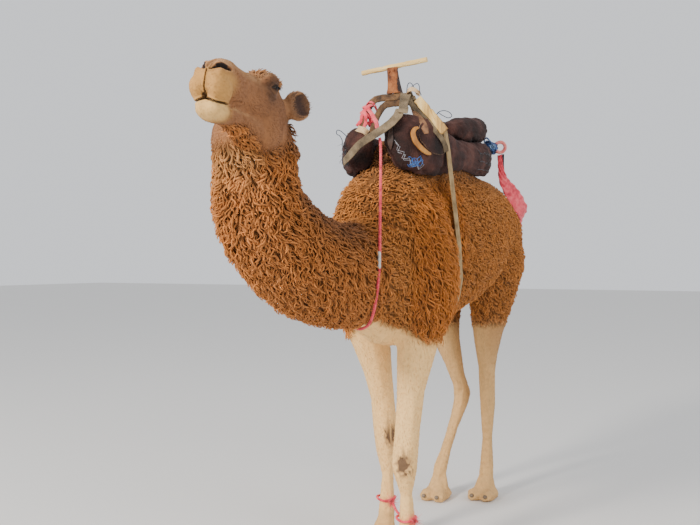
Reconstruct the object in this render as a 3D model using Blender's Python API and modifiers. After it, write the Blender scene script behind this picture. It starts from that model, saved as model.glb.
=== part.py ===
"""A still, life-size dromedary camel, standing with its head raised and a trekking saddle on its hump.

Metres, +Z up. The camel faces -Y and its left side is +X. The flesh is lofted from a few stations, joined
by a voxel remesh, and then parted by thin cuts into the named parts of the body. The tack is made on it.
"""

import math

import bmesh
import bpy
import numpy as np
from mathutils import Matrix, Vector
from mathutils.bvhtree import BVHTree

# ------------------------------------------------------------------ driving sizes, in metres
CUT = 0.0005  # the clear gap between neighbouring pieces
VOXEL = 0.011  # the grain of the remesh that joins the flesh
HEAD_VOXEL = 0.0055
BODY_TRIANGLES = 2250
HEAD_TRIANGLES = 1400
HEAD_SCALE = 1.07
HEAD_POLL = Vector((-0.020, -1.060, 1.956))  # the joint of the skull and the neck
HEAD_YAW = math.radians(13)  # turned to the camel's left
HEAD_PITCH = math.radians(6)  # nose up
HEAD_ROLL = math.radians(5)  # left cheek down
EYE_RADIUS = 0.020
EAR_REACH = 0.046  # from the ear's root to its middle, in the head's own scale
EAR_RADII, EAR_HOLLOW = (0.050, 0.054, 0.050), (0.040, 0.044, 0.042)
EYE_PLACE = (0.172, 0.079, 0.029)  # along the head, out to the side, and up, in the head's own frame
KNEE = 0.47
HOCK = 0.57
FETLOCK = 0.17
HOBBLE = 0.215  # the height of the hobble rings
LEG_TOP = 0.975  # where the forelegs part from the trunk
THIGH_END = 1.04  # where the hind legs part from the thighs

# Where each leg stands. Each row is a joint: how far out from the middle, how far back, and how high.
FORELEGS = {
    "left": [(0.150, 0.02, 1.66), (0.185, 0.03, 1.46), (0.188, 0.03, 1.22), (0.150, -0.01, 1.01),
             (0.132, -0.06, 0.76), (0.125, -0.10, KNEE), (0.128, -0.095, 0.33), (0.130, -0.09, FETLOCK)],
    "right": [(0.150, 0.03, 1.66), (0.185, 0.04, 1.46), (0.188, 0.06, 1.22), (0.150, 0.10, 1.01),
              (0.120, 0.165, 0.76), (0.102, 0.195, KNEE), (0.095, 0.185, 0.33), (0.092, 0.17, FETLOCK)],
}
HINDLEGS = {
    "left": [(0.130, 1.15, 1.64), (0.175, 1.16, 1.44), (0.172, 1.10, 1.22), (0.135, 1.12, 0.98),
             (0.105, 1.19, 0.76), (0.092, 1.250, HOCK), (0.100, 1.215, 0.35), (0.108, 1.18, FETLOCK)],
    "right": [(0.130, 1.15, 1.64), (0.175, 1.16, 1.44), (0.172, 1.09, 1.22), (0.130, 1.10, 0.98),
              (0.095, 1.18, 0.76), (0.078, 1.265, HOCK), (0.110, 1.14, 0.35), (0.140, 1.05, FETLOCK)],
}
# Half the depth, front to back, and half the width of the leg at each of those joints.
FORELEG_GIRTH = [(0.17, 0.10), (0.195, 0.130), (0.190, 0.130), (0.115, 0.098),
                 (0.076, 0.064), (0.066, 0.058), (0.038, 0.034), (0.048, 0.044)]
HINDLEG_GIRTH = [(0.22, 0.11), (0.295, 0.150), (0.232, 0.126), (0.130, 0.085),
                 (0.074, 0.052), (0.068, 0.050), (0.040, 0.034), (0.048, 0.045)]

# Trunk: how far back, half width, height of the widest line, top, bottom.
TRUNK = [(-0.40, 0.08, 1.38, 1.46, 1.28), (-0.31, 0.17, 1.38, 1.63, 1.15), (-0.17, 0.235, 1.42, 1.815, 1.06),
         (0.00, 0.258, 1.44, 1.870, 1.02), (0.16, 0.265, 1.46, 1.905, 1.03), (0.34, 0.285, 1.46, 1.93, 1.08),
         (0.56, 0.315, 1.46, 1.930, 1.13), (0.78, 0.322, 1.48, 1.915, 1.19), (0.98, 0.308, 1.52, 1.900, 1.25),
         (1.16, 0.300, 1.54, 1.875, 1.31), (1.33, 0.288, 1.53, 1.79, 1.36), (1.46, 0.215, 1.53, 1.69, 1.42),
         (1.51, 0.11, 1.54, 1.61, 1.47)]
# Neck: across, back, up, half its depth, half its width. It dips low from the chest and then rises.
NECK = [(0.00, 0.02, 1.44, 0.29, 0.235), (0.00, -0.25, 1.365, 0.248, 0.205), (-0.02, -0.52, 1.345, 0.225, 0.180),
        (-0.058, -0.79, 1.420, 0.222, 0.172), (-0.090, -0.980, 1.580, 0.206, 0.168),
        (-0.088, -1.024, 1.745, 0.177, 0.154), (-0.070, -1.052, 1.860, 0.190, 0.150),
        (-0.045, -1.025, 1.955, 0.122, 0.098)]
# The hanging tail: across, back, up, half its depth, half its width.
TAIL = [(0.0, 1.44, 1.625, 0.040, 0.045), (0.0, 1.510, 1.590, 0.034, 0.038), (0.0, 1.548, 1.50, 0.027, 0.030),
        (0.0, 1.545, 1.38, 0.024, 0.027), (0.0, 1.535, 1.26, 0.030, 0.034), (0.0, 1.530, 1.14, 0.038, 0.042),
        (0.0, 1.525, 1.04, 0.018, 0.020)]
TAIL_TUFT = 1.31  # below this height the tail is all tuft

# Stuffed felt pads of the saddle: across, back, up, half height, half width.
SIDE_PAD = [(0.042, -0.150, 1.995, 0.090, 0.055), (0.108, -0.108, 1.955, 0.135, 0.070),
            (0.160, 0.010, 1.940, 0.150, 0.078), (0.168, 0.160, 1.940, 0.130, 0.066),
            (0.178, 0.380, 1.930, 0.100, 0.072), (0.182, 0.640, 1.950, 0.100, 0.074),
            (0.172, 0.820, 1.970, 0.100, 0.074), (0.122, 0.920, 1.978, 0.092, 0.066)]
SAG = [(-0.015, -0.010), (-0.026, -0.026), (-0.030, -0.036), (-0.012, -0.020)]  # the right pad's front sits lower
REAR_ROLL = [(0.150, 0.360, 2.075, 0.050, 0.050), (0.168, 0.520, 2.095, 0.068, 0.068),
             (0.165, 0.740, 2.125, 0.072, 0.072), (0.120, 0.900, 2.145, 0.074, 0.074),
             (0.000, 0.955, 2.150, 0.076, 0.076), (-0.120, 0.900, 2.145, 0.074, 0.074),
             (-0.165, 0.740, 2.125, 0.072, 0.072), (-0.168, 0.520, 2.095, 0.068, 0.068),
             (-0.150, 0.360, 2.075, 0.050, 0.050)]
ARCH_BACKS = (0.030, 0.150)  # how far back each arch of the saddle tree stands
ARCH_LINE = [(-0.168, 2.050), (-0.150, 2.115), (-0.122, 2.165), (-0.088, 2.197), (-0.010, 2.200),
             (0.068, 2.197), (0.102, 2.165), (0.130, 2.115), (0.148, 2.050)]
ARCH_BAR = (0.034, 0.010)  # height and thickness of the bar it is bent from
HANDLE = (Vector((0.010, 0.030, 2.347)), 0.345, 0.0125, math.radians(5))  # middle, length, radius, tilt
STRAP_THICKNESS = 0.004
GIRTH_WIDTH = 0.038
GIRTH_PLANE = (Vector((0, 0.116, 1.938)), Vector((0, 1, 0.21)))  # a point on its plane, and the plane's normal
BREAST_ROPE_RADIUS = 0.0065
BREAST_ENDS = (Vector((0.030, -0.205, 1.955)), Vector((-0.225, 0.0, 1.790)))  # where it leaves the saddle
BREAST_FRONT = Vector((0.162, -0.450, 1.300))  # where it passes the left side of the neck's base


# ------------------------------------------------------------------ small helpers
def new_object(name, mesh, collection):
    obj = bpy.data.objects.new(name, mesh)
    collection.objects.link(obj)
    return obj


def spline(rows, count):
    """`count` rows on a smooth curve through the given ones (Catmull-Rom), for any number of columns."""
    rows = np.array(rows, float)
    padded = np.vstack([2 * rows[0] - rows[1], rows, 2 * rows[-1] - rows[-2]])
    out = []
    for s in np.linspace(0, len(rows) - 1, count):
        i = min(int(s), len(rows) - 2)
        t = s - i
        a, b, c, d = padded[i:i + 4]
        out.append(0.5 * (2 * b + (c - a) * t + (2 * a - 5 * b + 4 * c - d) * t * t
                          + (3 * b - a - 3 * c + d) * t ** 3))
    return np.array(out)


def section(centre, across, up, half_width, above, below, square=2.0, sides=24):
    """A closed ring of points: a rounded section with its own height above and below the centre."""
    ring = []
    for k in range(sides):
        turn = 2 * math.pi * k / sides
        c, s = math.cos(turn), math.sin(turn)
        u = math.copysign(abs(c) ** (2 / square), c) * half_width
        v = math.copysign(abs(s) ** (2 / square), s) * (above if s > 0 else below)
        ring.append(Vector(centre) + Vector(across) * u + Vector(up) * v)
    return ring


def loft(name, rings, collection, closed=False):
    """A closed skin over a row of rings with the same number of points, capped flat unless it meets itself."""
    shape = bmesh.new()
    rows = [[shape.verts.new(p) for p in ring] for ring in rings]
    pairs = list(zip(rows, rows[1:])) + ([(rows[-1], rows[0])] if closed else [])
    for a, b in pairs:
        for k in range(len(a)):
            n = (k + 1) % len(a)
            shape.faces.new((a[k], a[n], b[n], b[k]))
    if not closed:
        shape.faces.new(rows[0][::-1])
        shape.faces.new(rows[-1])
    bmesh.ops.recalc_face_normals(shape, faces=shape.faces)
    mesh = bpy.data.meshes.new(name)
    shape.to_mesh(mesh)
    shape.free()
    return new_object(name, mesh, collection)


def ball(name, centre, radii, collection, turn=None, segments=20, rings=12):
    """An ellipsoid, from a sphere primitive."""
    shape = bmesh.new()
    bmesh.ops.create_uvsphere(shape, u_segments=segments, v_segments=rings, radius=1.0)
    mesh = bpy.data.meshes.new(name)
    shape.to_mesh(mesh)
    shape.free()
    mesh.transform(Matrix.Translation(centre) @ (turn or Matrix()) @ Matrix.Diagonal((*radii, 1)))
    return new_object(name, mesh, collection)


def block(name, centre, sizes, collection, turn=None):
    """A box, from a cube primitive."""
    shape = bmesh.new()
    bmesh.ops.create_cube(shape, size=1.0)
    mesh = bpy.data.meshes.new(name)
    shape.to_mesh(mesh)
    shape.free()
    mesh.transform(Matrix.Translation(centre) @ (turn or Matrix()) @ Matrix.Diagonal((*sizes, 1)))
    return new_object(name, mesh, collection)


def modify(obj, kind, **settings):
    """Adds one modifier, applies it to the mesh, and returns the object."""
    modifier = obj.modifiers.new(kind.lower(), kind)
    for key, value in settings.items():
        setattr(modifier, key, value)
    graph = bpy.context.evaluated_depsgraph_get()
    mesh = bpy.data.meshes.new_from_object(obj.evaluated_get(graph))
    obj.modifiers.clear()
    old, obj.data = obj.data, mesh
    bpy.data.meshes.remove(old)
    return obj


def discard(*objects):
    for obj in objects:
        mesh = obj.data
        bpy.data.objects.remove(obj)
        bpy.data.meshes.remove(mesh)


def duplicate(obj, name, collection):
    return new_object(name, obj.data.copy(), collection)


def join(name, objects, collection):
    """One object that holds the meshes of several, which it uses up."""
    shape = bmesh.new()
    for obj in objects:
        shape.from_mesh(obj.data)
    mesh = bpy.data.meshes.new(name)
    shape.to_mesh(mesh)
    shape.free()
    discard(*objects)
    return new_object(name, mesh, collection)


def triangles(obj):
    return sum(len(face.vertices) - 2 for face in obj.data.polygons)


def thin(obj, target):
    """Decimates a mesh to about `target` triangles."""
    return modify(obj, "DECIMATE", ratio=min(1.0, target / triangles(obj)))


def largest(obj):
    """Keeps only the largest island of a mesh, in case a cut left a sliver beside it."""
    shape = bmesh.new()
    shape.from_mesh(obj.data)
    left, islands = set(shape.verts), []
    while left:
        stack, island = [left.pop()], set()
        while stack:
            vertex = stack.pop()
            island.add(vertex)
            for edge in vertex.link_edges:
                other = edge.other_vert(vertex)
                if other in left:
                    left.discard(other)
                    stack.append(other)
        islands.append(island)
    if len(islands) > 1:
        def spread(island):
            low = Vector([min(v.co[i] for v in island) for i in range(3)])
            high = Vector([max(v.co[i] for v in island) for i in range(3)])
            return (high - low).length
        islands.sort(key=spread)
        print(f"{obj.name}: {len(islands) - 1} slivers left out, the largest {spread(islands[-2]):.4f} m")
        bmesh.ops.delete(shape, geom=[v for island in islands[:-1] for v in island], context="VERTS")
        shape.to_mesh(obj.data)
    shape.free()
    return obj


def boolean(obj, other, operation, use_up=True):
    modify(obj, "BOOLEAN", operation=operation, object=other, solver="EXACT")
    if use_up:
        discard(other)
    return obj


def swell(obj, by, name, collection):
    """A copy of a mesh grown outward by `by`."""
    grown = duplicate(obj, name, collection)
    return modify(grown, "DISPLACE", strength=by, mid_level=0.0)


def grown(obj, guides):
    """A cutter that keeps the clear gap to an object."""
    return swell(obj, CUT, obj.name + "_clearance", guides)


def clear_of(obj, cutters):
    """Cuts an object back from its neighbours, given as their grown copies."""
    for cutter in cutters:
        boolean(obj, cutter, "DIFFERENCE", use_up=False)
    return largest(obj)


def carve(rest, name, cutter, grown, camel):
    """Parts one named piece from the rest: the piece lies inside the cutter, and the rest outside the grown one."""
    piece = duplicate(rest, name, camel)
    boolean(piece, cutter, "INTERSECT")
    boolean(rest, grown, "DIFFERENCE")
    largest(piece)
    largest(rest)
    return piece


def carve_box(rest, name, low, high, camel, guides):
    low, high = Vector(low), Vector(high)
    gap = Vector((CUT, CUT, CUT))
    middle = (low + high) / 2
    return carve(rest, name, block("cutter", middle, high - low, guides),
                 block("cutter", middle, high - low + 2 * gap, guides), camel)


def carve_plane(rest, name, point, normal, camel, guides):
    """Parts off what lies on the normal's side of a plane."""
    normal = Vector(normal).normalized()
    turn = normal.to_track_quat("Z", "Y").to_matrix().to_4x4()
    size = 3.0
    return carve(rest, name, block("cutter", Vector(point) + normal * size / 2, (size,) * 3, guides, turn),
                 block("cutter", Vector(point) + normal * (size / 2 - CUT), (size,) * 3, guides, turn), camel)


# ------------------------------------------------------------------ the flesh, one form at a time
def trunk_form(guides):
    rings = []
    for back, half_width, widest, top, bottom in spline(TRUNK, 30):
        rings.append(section((0, back, widest), (1, 0, 0), (0, 0, 1), half_width, top - widest, widest - bottom, 2.5))
    return [loft("trunk_form", rings, guides),
            ball("hump_form", (0, 0.43, 1.78), (0.235, 0.55, 0.305), guides),
            ball("keel_form", (0, -0.02, 1.10), (0.12, 0.20, 0.10), guides)]


def tube_form(name, rows, guides, count=30, sides=24):
    """A loft along a bent line in space: across, back, up, half depth, half width."""
    rows = spline(rows, count)
    points = [Vector(r[:3]) for r in rows]
    rings = []
    for i, row in enumerate(rows):
        along = (points[min(i + 1, count - 1)] - points[max(i - 1, 0)]).normalized()
        across = (Vector((1, 0, 0)) - along * along.x).normalized()
        up = across.cross(along)
        rings.append(section(points[i], across, up, row[4], row[3], row[3], 2.0, sides))
    return loft(name, rings, guides)


def leg_form(name, side, joints, girth, guides):
    """One leg down to its fetlock, in level rings."""
    rows = spline([(*j, *g) for j, g in zip(joints, girth)], 40)
    rings = [section((side * out, back, up), (1, 0, 0), (0, -1, 0), wide, deep, deep)
             for out, back, up, deep, wide in rows]
    return loft(name, rings, guides)


def foot_forms(name, side, fetlock, guides):
    """The pastern, the broad pad and the two toes."""
    x, y, z = side * fetlock[0], fetlock[1], fetlock[2]
    pastern = [section((x, y - lean, up), (1, 0, 0), (0, -1, 0), wide, deep, deep)
               for up, lean, deep, wide in ((z, 0.0, 0.046, 0.043), (z - 0.05, 0.010, 0.046, 0.045),
                                            (z - 0.10, 0.030, 0.060, 0.060), (0.02, 0.045, 0.080, 0.078))]
    forms = [loft(name + "_pastern", pastern, guides),
             ball(name + "_pad", (x, y - 0.040, 0.024), (0.086, 0.100, 0.046), guides)]
    for toe in (-1, 1):
        forms.append(ball(f"{name}_toe", (x + toe * 0.043, y - 0.110, 0.028), (0.042, 0.064, 0.040), guides))
    return forms


def head_frame():
    """Head's own frame: X along the head to the nose, Y to the camel's left, Z up from the skull."""
    turn = (Matrix.Rotation(HEAD_YAW - math.pi / 2, 4, "Z") @ Matrix.Rotation(-HEAD_PITCH, 4, "Y")
            @ Matrix.Rotation(-HEAD_ROLL, 4, "X"))
    return Matrix.Translation(HEAD_POLL) @ turn @ Matrix.Scale(HEAD_SCALE, 4)


# Head: along, half width, top, bottom of the upper head; the jaw has rows of its own.
SKULL = [(-0.03, 0.066, 0.050, -0.10), (0.02, 0.084, 0.074, -0.13), (0.08, 0.090, 0.086, -0.12),
         (0.14, 0.086, 0.084, -0.10), (0.20, 0.076, 0.070, -0.09), (0.27, 0.062, 0.057, -0.085),
         (0.34, 0.060, 0.054, -0.085), (0.40, 0.058, 0.050, -0.085), (0.450, 0.053, 0.030, -0.085),
         (0.483, 0.044, 0.000, -0.082), (0.503, 0.024, -0.028, -0.068)]
JAW = [(0.00, 0.058, -0.05, -0.140), (0.06, 0.074, -0.03, -0.170), (0.12, 0.070, -0.04, -0.165),
       (0.19, 0.060, -0.06, -0.150), (0.27, 0.051, -0.07, -0.142), (0.35, 0.049, -0.08, -0.144),
       (0.41, 0.050, -0.085, -0.154), (0.450, 0.044, -0.09, -0.148), (0.478, 0.026, -0.095, -0.128)]


def head_forms(guides):
    forms = []
    for name, rows, square in (("skull_form", SKULL, 2.0), ("jaw_form", JAW, 2.3)):
        rings = []
        for along, half_width, top, bottom in spline(rows, 26):
            middle = (top + bottom) / 2
            rings.append(section((along, 0, middle), (0, 1, 0), (0, 0, 1), half_width,
                                 top - middle, middle - bottom, square))
        forms.append(loft(name, rings, guides))
    for side in (-1, 1):
        forms += [
            ball("brow_form", (0.165, side * 0.066, 0.050), (0.050, 0.030, 0.030), guides),
            ball("lower_lid_form", (0.170, side * 0.066, 0.010), (0.045, 0.028, 0.026), guides),
            ball("cheek_form", (0.075, side * 0.054, -0.085), (0.080, 0.038, 0.082), guides),
            ball("lip_form", (0.450, side * 0.029, -0.062), (0.058, 0.035, 0.044), guides),
            ball("nostril_form", (0.430, side * 0.030, -0.014), (0.052, 0.026, 0.024), guides),
        ]
    forms.append(ball("lower_lip_form", (0.428, 0.004, -0.124), (0.054, 0.054, 0.031), guides))
    forms.append(ball("topknot_form", (0.060, 0, 0.082), (0.080, 0.062, 0.036), guides))
    for obj in forms:
        obj.data.transform(head_frame())
    return forms


def all_forms(guides):
    forms = trunk_form(guides) + [tube_form("neck_form", NECK, guides)] + head_forms(guides)
    for side, word in ((1, "left"), (-1, "right")):
        forms.append(leg_form("foreleg_form", side, FORELEGS[word], FORELEG_GIRTH, guides))
        forms.append(leg_form("hindleg_form", side, HINDLEGS[word], HINDLEG_GIRTH, guides))
        forms += foot_forms("forefoot", side, FORELEGS[word][-1], guides)
        forms += foot_forms("hindfoot", side, HINDLEGS[word][-1], guides)
    return forms


def make_flesh(camel, guides):
    """The joined body, trimmed flat underfoot, and a head of finer grain."""
    body = join("trunk", all_forms(guides), camel)
    modify(body, "REMESH", mode="VOXEL", voxel_size=VOXEL)
    modify(body, "SMOOTH", factor=0.5, iterations=4)
    thin(body, BODY_TRIANGLES)
    boolean(body, block("ground", (0, 0, -0.5), (6, 6, 1), guides), "DIFFERENCE")
    head = join("head", head_forms(guides) + [tube_form("neck_form", NECK, guides)], camel)
    modify(head, "REMESH", mode="VOXEL", voxel_size=HEAD_VOXEL)
    modify(head, "SMOOTH", factor=0.5, iterations=4)
    boolean(head, block("lower", (0, 0, 0.62), (6, 6, 2), guides), "DIFFERENCE")
    thin(head, HEAD_TRIANGLES)
    return body, head


def part_flesh(body, head, camel, guides):
    """Cuts the joined body into its named pieces. The trunk is what is left."""
    pieces = {"trunk": body, "head": head}
    point, normal = Vector((-0.05, -1.03, 1.86)), Vector((0.0, -0.80, 0.60))
    discard(carve_plane(body, "old_head", point, normal, camel, guides))
    discard(carve_plane(head, "old_neck", point + normal.normalized() * CUT, -normal, camel, guides))
    pieces["neck_upper"] = carve_plane(body, "neck_upper", (-0.06, -0.80, 1.44), (-0.10, -0.74, 0.66), camel, guides)
    pieces["neck_lower"] = carve_plane(body, "neck_lower", (0, -0.40, 1.40), (0, -1, -0.12), camel, guides)
    for side, word in ((1, "left"), (-1, "right")):
        x0, x1 = sorted((0.0005 * side, 0.6 * side))
        for pair, y0, y1, top, joint in (("fore", -0.45, 0.60, LEG_TOP, KNEE), ("hind", 0.60, 1.60, THIGH_END, HOCK)):
            upper = carve_box(body, f"{pair}leg_{word}_upper", (x0, y0, -0.3), (x1, y1, top), camel, guides)
            lower = carve_box(upper, f"{pair}leg_{word}_lower", (x0, y0, -0.3), (x1, y1, joint), camel, guides)
            foot = carve_box(lower, f"{pair}foot_{word}", (x0, y0, -0.3), (x1, y1, FETLOCK - 0.01), camel, guides)
            for piece in (upper, lower, foot):
                pieces[piece.name] = piece
        for name, low, high in (("shoulder_", (0.19, -0.22, LEG_TOP + 0.03), (0.6, 0.30, 1.80)),
                                ("thigh_", (0.16, 0.84, THIGH_END + 0.03), (0.6, 1.43, 1.70))):
            low, high = sorted((low[0] * side, high[0] * side)), (low[1:], high[1:])
            pieces[name + word] = carve_box(body, name + word, (low[0], *high[0]), (low[1], *high[1]), camel, guides)
    pieces["hump"] = carve_box(body, "hump", (-0.4, 0.0, 1.90), (0.4, 1.0, 2.4), camel, guides)
    return pieces


def add_small_flesh(pieces, whole, camel, guides):
    """Ears, eyes, toenails and the tail, each with its own seat in what it grows from."""
    frame = head_frame()
    head_clearance = grown(pieces["head"], guides)
    for side, word in ((1, "left"), (-1, "right")):
        point = Vector((-0.52, side * 0.72, 0.40)).normalized()
        turn = point.to_track_quat("Z", "Y").to_matrix().to_4x4()
        root = Vector((0.004, side * 0.070, 0.010))
        ear = ball("ear_" + word, root + point * EAR_REACH, EAR_RADII, camel, turn, 12, 7)
        hollow = root + point * (1.4 * EAR_REACH) + Vector((0.022, side * 0.014, -0.004))
        boolean(ear, ball("hollow", hollow, EAR_HOLLOW, guides, turn, 12, 7), "DIFFERENCE")
        ear.data.transform(frame)
        thin(ear, 150)
        pieces[ear.name] = clear_of(ear, [head_clearance])
        place = (EYE_PLACE[0], side * EYE_PLACE[1], EYE_PLACE[2])
        centre = frame @ Vector(place)
        pieces["eye_" + word] = ball("eye_" + word, centre, (EYE_RADIUS,) * 3, camel, None, 12, 7)
        boolean(pieces["head"], ball("socket", centre, (EYE_RADIUS + CUT,) * 3, guides, None, 12, 7), "DIFFERENCE")
        for pair, legs in (("fore", FORELEGS), ("hind", HINDLEGS)):
            x, y, _ = legs[word][-1]
            foot = pieces[f"{pair}foot_{word}"]
            skin = surface([foot])
            for toe, which in ((-1, "inner" if side > 0 else "outer"), (1, "outer" if side > 0 else "inner")):
                front = skin.ray_cast(Vector((side * x + toe * 0.040, y - 0.5, 0.034)), Vector((0, 1, 0)))[0]
                centre = front + Vector((0, 0.006, 0))
                name = f"toenail_{pair}_{word}_{which}"
                pieces[name] = ball(name, centre, (0.014, 0.016, 0.012), camel, None, 7, 4)
                boolean(foot, ball("seat", centre, (0.014 + CUT, 0.016 + CUT, 0.012 + CUT), guides, None, 7, 4),
                        "DIFFERENCE")
            largest(foot)
    tail = tube_form("tail_root", TAIL, camel, 12, 8)
    pieces["tail_tuft"] = carve_box(tail, "tail_tuft", (-0.2, 1.2, 0.5), (0.2, 1.9, TAIL_TUFT), camel, guides)
    pieces["tail_root"] = clear_of(tail, [whole])


# ------------------------------------------------------------------ paths for straps and ropes
CHORD_ERROR = 0.002


def hull(points):
    """The convex hull of points in a plane, counterclockwise."""
    points = sorted(set((round(float(u), 6), round(float(v), 6)) for u, v in points))

    def half(items):
        out = []
        for p in items:
            while len(out) > 1 and ((out[-1][0] - out[-2][0]) * (p[1] - out[-2][1])
                                    - (out[-1][1] - out[-2][1]) * (p[0] - out[-2][0])) <= 0:
                out.pop()
            out.append(p)
        return out[:-1]
    return half(points) + half(points[::-1])


def simplify(line, tolerance):
    """Leaves out the points of a line that lie within the tolerance of its chords."""
    chord = line[-1] - line[0]
    away = line - line[0]
    length = np.linalg.norm(chord)
    if length < tolerance:
        off = np.linalg.norm(away, axis=1)
    else:
        off = np.abs(chord[0] * away[:, 1] - chord[1] * away[:, 0]) / length
    k = int(off.argmax())
    if off[k] < tolerance:
        return line[[0, -1]]
    return np.vstack([simplify(line[:k + 1], tolerance)[:-1], simplify(line[k:], tolerance)])


def girdle(objects, point, normal, lift, width, anchors=()):
    """A taut loop round some objects, and over the anchors, in a plane: places, and the way out from each."""
    normal = Vector(normal).normalized()
    first = Vector((1, 0, 0)) - normal * normal.x
    if first.length < 0.1:
        first = Vector((0, 1, 0)) - normal * normal.y
    first.normalize()
    second = normal.cross(first)
    found = [((Vector(a) - Vector(point)).dot(first), (Vector(a) - Vector(point)).dot(second)) for a in anchors]
    for shift in np.linspace(-width / 2, width / 2, 5):
        base = Vector(point) + normal * shift
        for obj in objects:
            where = [v.co.copy() for v in obj.data.vertices]
            depth = [(co - base).dot(normal) for co in where]
            for edge in obj.data.edges:
                a, b = edge.vertices
                if depth[a] * depth[b] < 0:
                    t = depth[a] / (depth[a] - depth[b])
                    away = where[a].lerp(where[b], t) - Vector(point)
                    found.append((away.dot(first), away.dot(second)))
    ring = [(u + lift * math.cos(a), v + lift * math.sin(a)) for u, v in hull(found)
            for a in np.linspace(0, 2 * math.pi, 16, endpoint=False)]
    ring = np.array(hull(ring))
    flat = simplify(np.vstack([ring, ring[:1]]), CHORD_ERROR)[:-1]
    ahead = np.roll(flat, -1, 0) - np.roll(flat, 1, 0)
    out = np.stack([ahead[:, 1], -ahead[:, 0]], 1)
    out /= np.linalg.norm(out, axis=1, keepdims=True)
    return ([Vector(point) + first * u + second * v for u, v in flat],
            [first * u + second * v for u, v in out], normal)


def long_way(loop, start, end):
    """The longer way round a loop of places, between those nearest two points."""
    first = min(range(len(loop)), key=lambda k: (loop[k] - start).length)
    turned = loop[first:] + loop[:first]
    last = min(range(len(turned)), key=lambda k: (turned[k] - end).length)
    return max(turned[:last + 1], turned[:1] + turned[last:][::-1], key=len)


def strap(name, places, outs, sides, width, thickness, collection, closed=True):
    """A flat band: its inner face on the path, its width along `sides`."""
    rings = []
    for place, out, side in zip(places, outs, sides):
        half = side * width / 2
        rings.append([place - half, place + half, place + half + out * thickness, place - half + out * thickness])
    return loft(name, rings, collection, closed)


def rope(name, places, radius, collection, closed=True, sides=6, aside=(0.31, 0.17, 0.93)):
    """A round line through some places. It must nowhere run along `aside`."""
    rings = []
    count = len(places)
    for i, place in enumerate(places):
        before = places[i - 1] if closed or i else places[i]
        after = places[(i + 1) % count] if closed or i < count - 1 else places[i]
        along = (after - before).normalized()
        across = along.cross(Vector(aside)).normalized()
        up = across.cross(along)
        rings.append(section(place, across, up, radius, radius, radius, 2.0, sides))
    return loft(name, rings, collection, closed)


def surface(objects):
    """A search tree over the faces of several meshes."""
    points, faces = [], []
    for obj in objects:
        start = len(points)
        points += [v.co.copy() for v in obj.data.vertices]
        faces += [tuple(start + k for k in face.vertices) for face in obj.data.polygons]
    return BVHTree.FromPolygons(points, faces)


def drape(guide, count, tree, lift, reach=0.05):
    """Lays a guide line onto a surface where it's within reach: places, ways out, and ways across the line."""
    line = [Vector(p) for p in spline(guide, count)]
    places, outs = [], []
    for p in line:
        place, normal, _, distance = tree.find_nearest(p)
        if (p - place).dot(normal) > 0 and (p - place).length > 1e-6:
            normal = (p - place).normalized() * 0.5 + normal * 0.5
        places.append(place + normal.normalized() * lift if distance < reach else p)
        outs.append(normal.normalized())
    for _ in range(3):
        places = [places[0]] + [(a + b * 2 + c) / 4 for a, b, c in zip(places, places[1:], places[2:])] + [places[-1]]
        outs = [outs[0]] + [(a + b * 2 + c).normalized() for a, b, c in zip(outs, outs[1:], outs[2:])] + [outs[-1]]
    sides = []
    for i in range(count):
        along = places[min(i + 1, count - 1)] - places[max(i - 1, 0)]
        sides.append(along.cross(outs[i]).normalized())
    return places, outs, sides


# ------------------------------------------------------------------ the tack
def make_tree(camel, guides):
    """The tree of the saddle: a handle on a post, two arches, two side rails and a plank."""
    middle, length, radius, tilt = HANDLE
    along = Vector((math.cos(tilt), 0, math.sin(tilt)))
    ends = [middle + along * (length * t) for t in (-0.5, 0.0, 0.5)]
    tree = [rope("handle_bar", ends, radius, camel, False, 10)]
    back = ARCH_BACKS[0]
    post = [[Vector((x, back + d, z)) for x, d in ((left, -0.011), (right, -0.011), (right, 0.011), (left, 0.011))]
            for left, right, z in ((-0.026, 0.052, 2.2175), (-0.026, 0.036, 2.262), (-0.024, 0.026, 2.31),
                                   (-0.022, 0.026, 2.350))]
    tree.append(loft("handle_post", post, camel))
    for name, back, drop in (("arch_front", ARCH_BACKS[0], 0.0), ("arch_rear", ARCH_BACKS[1], 0.006)):
        line = [Vector((x, back, z - drop)) for x, z in spline(ARCH_LINE, 17)]
        rings = []
        for i, p in enumerate(line):
            along = (line[min(i + 1, 16)] - line[max(i - 1, 0)]).normalized()
            out = Vector((-along.z, 0, along.x)) * (ARCH_BAR[0] / 2)
            deep = Vector((0, ARCH_BAR[1] / 2, 0))
            rings.append([p - out - deep, p + out - deep, p + out + deep, p - out + deep])
        tree.append(loft(name, rings, camel))
    clear_of(tree[1], [rope("grown", ends, radius + CUT, guides, False, 10), grown(tree[2], guides)])
    for side, word in ((1, "left"), (-1, "right")):
        tree.append(block("rail_" + word, (0.168 * side - 0.010, 0.150, 2.018), (0.042, 0.420, 0.022), camel))
    tilt = Matrix.Rotation(math.radians(50), 4, "Y")
    plank = block("plank", (0.212, 0.004, 2.092), (0.215, 0.014, 0.042), camel, tilt)
    tree.append(clear_of(plank, [grown(tree[2], guides), grown(tree[4], guides)]))
    return tree


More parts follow.
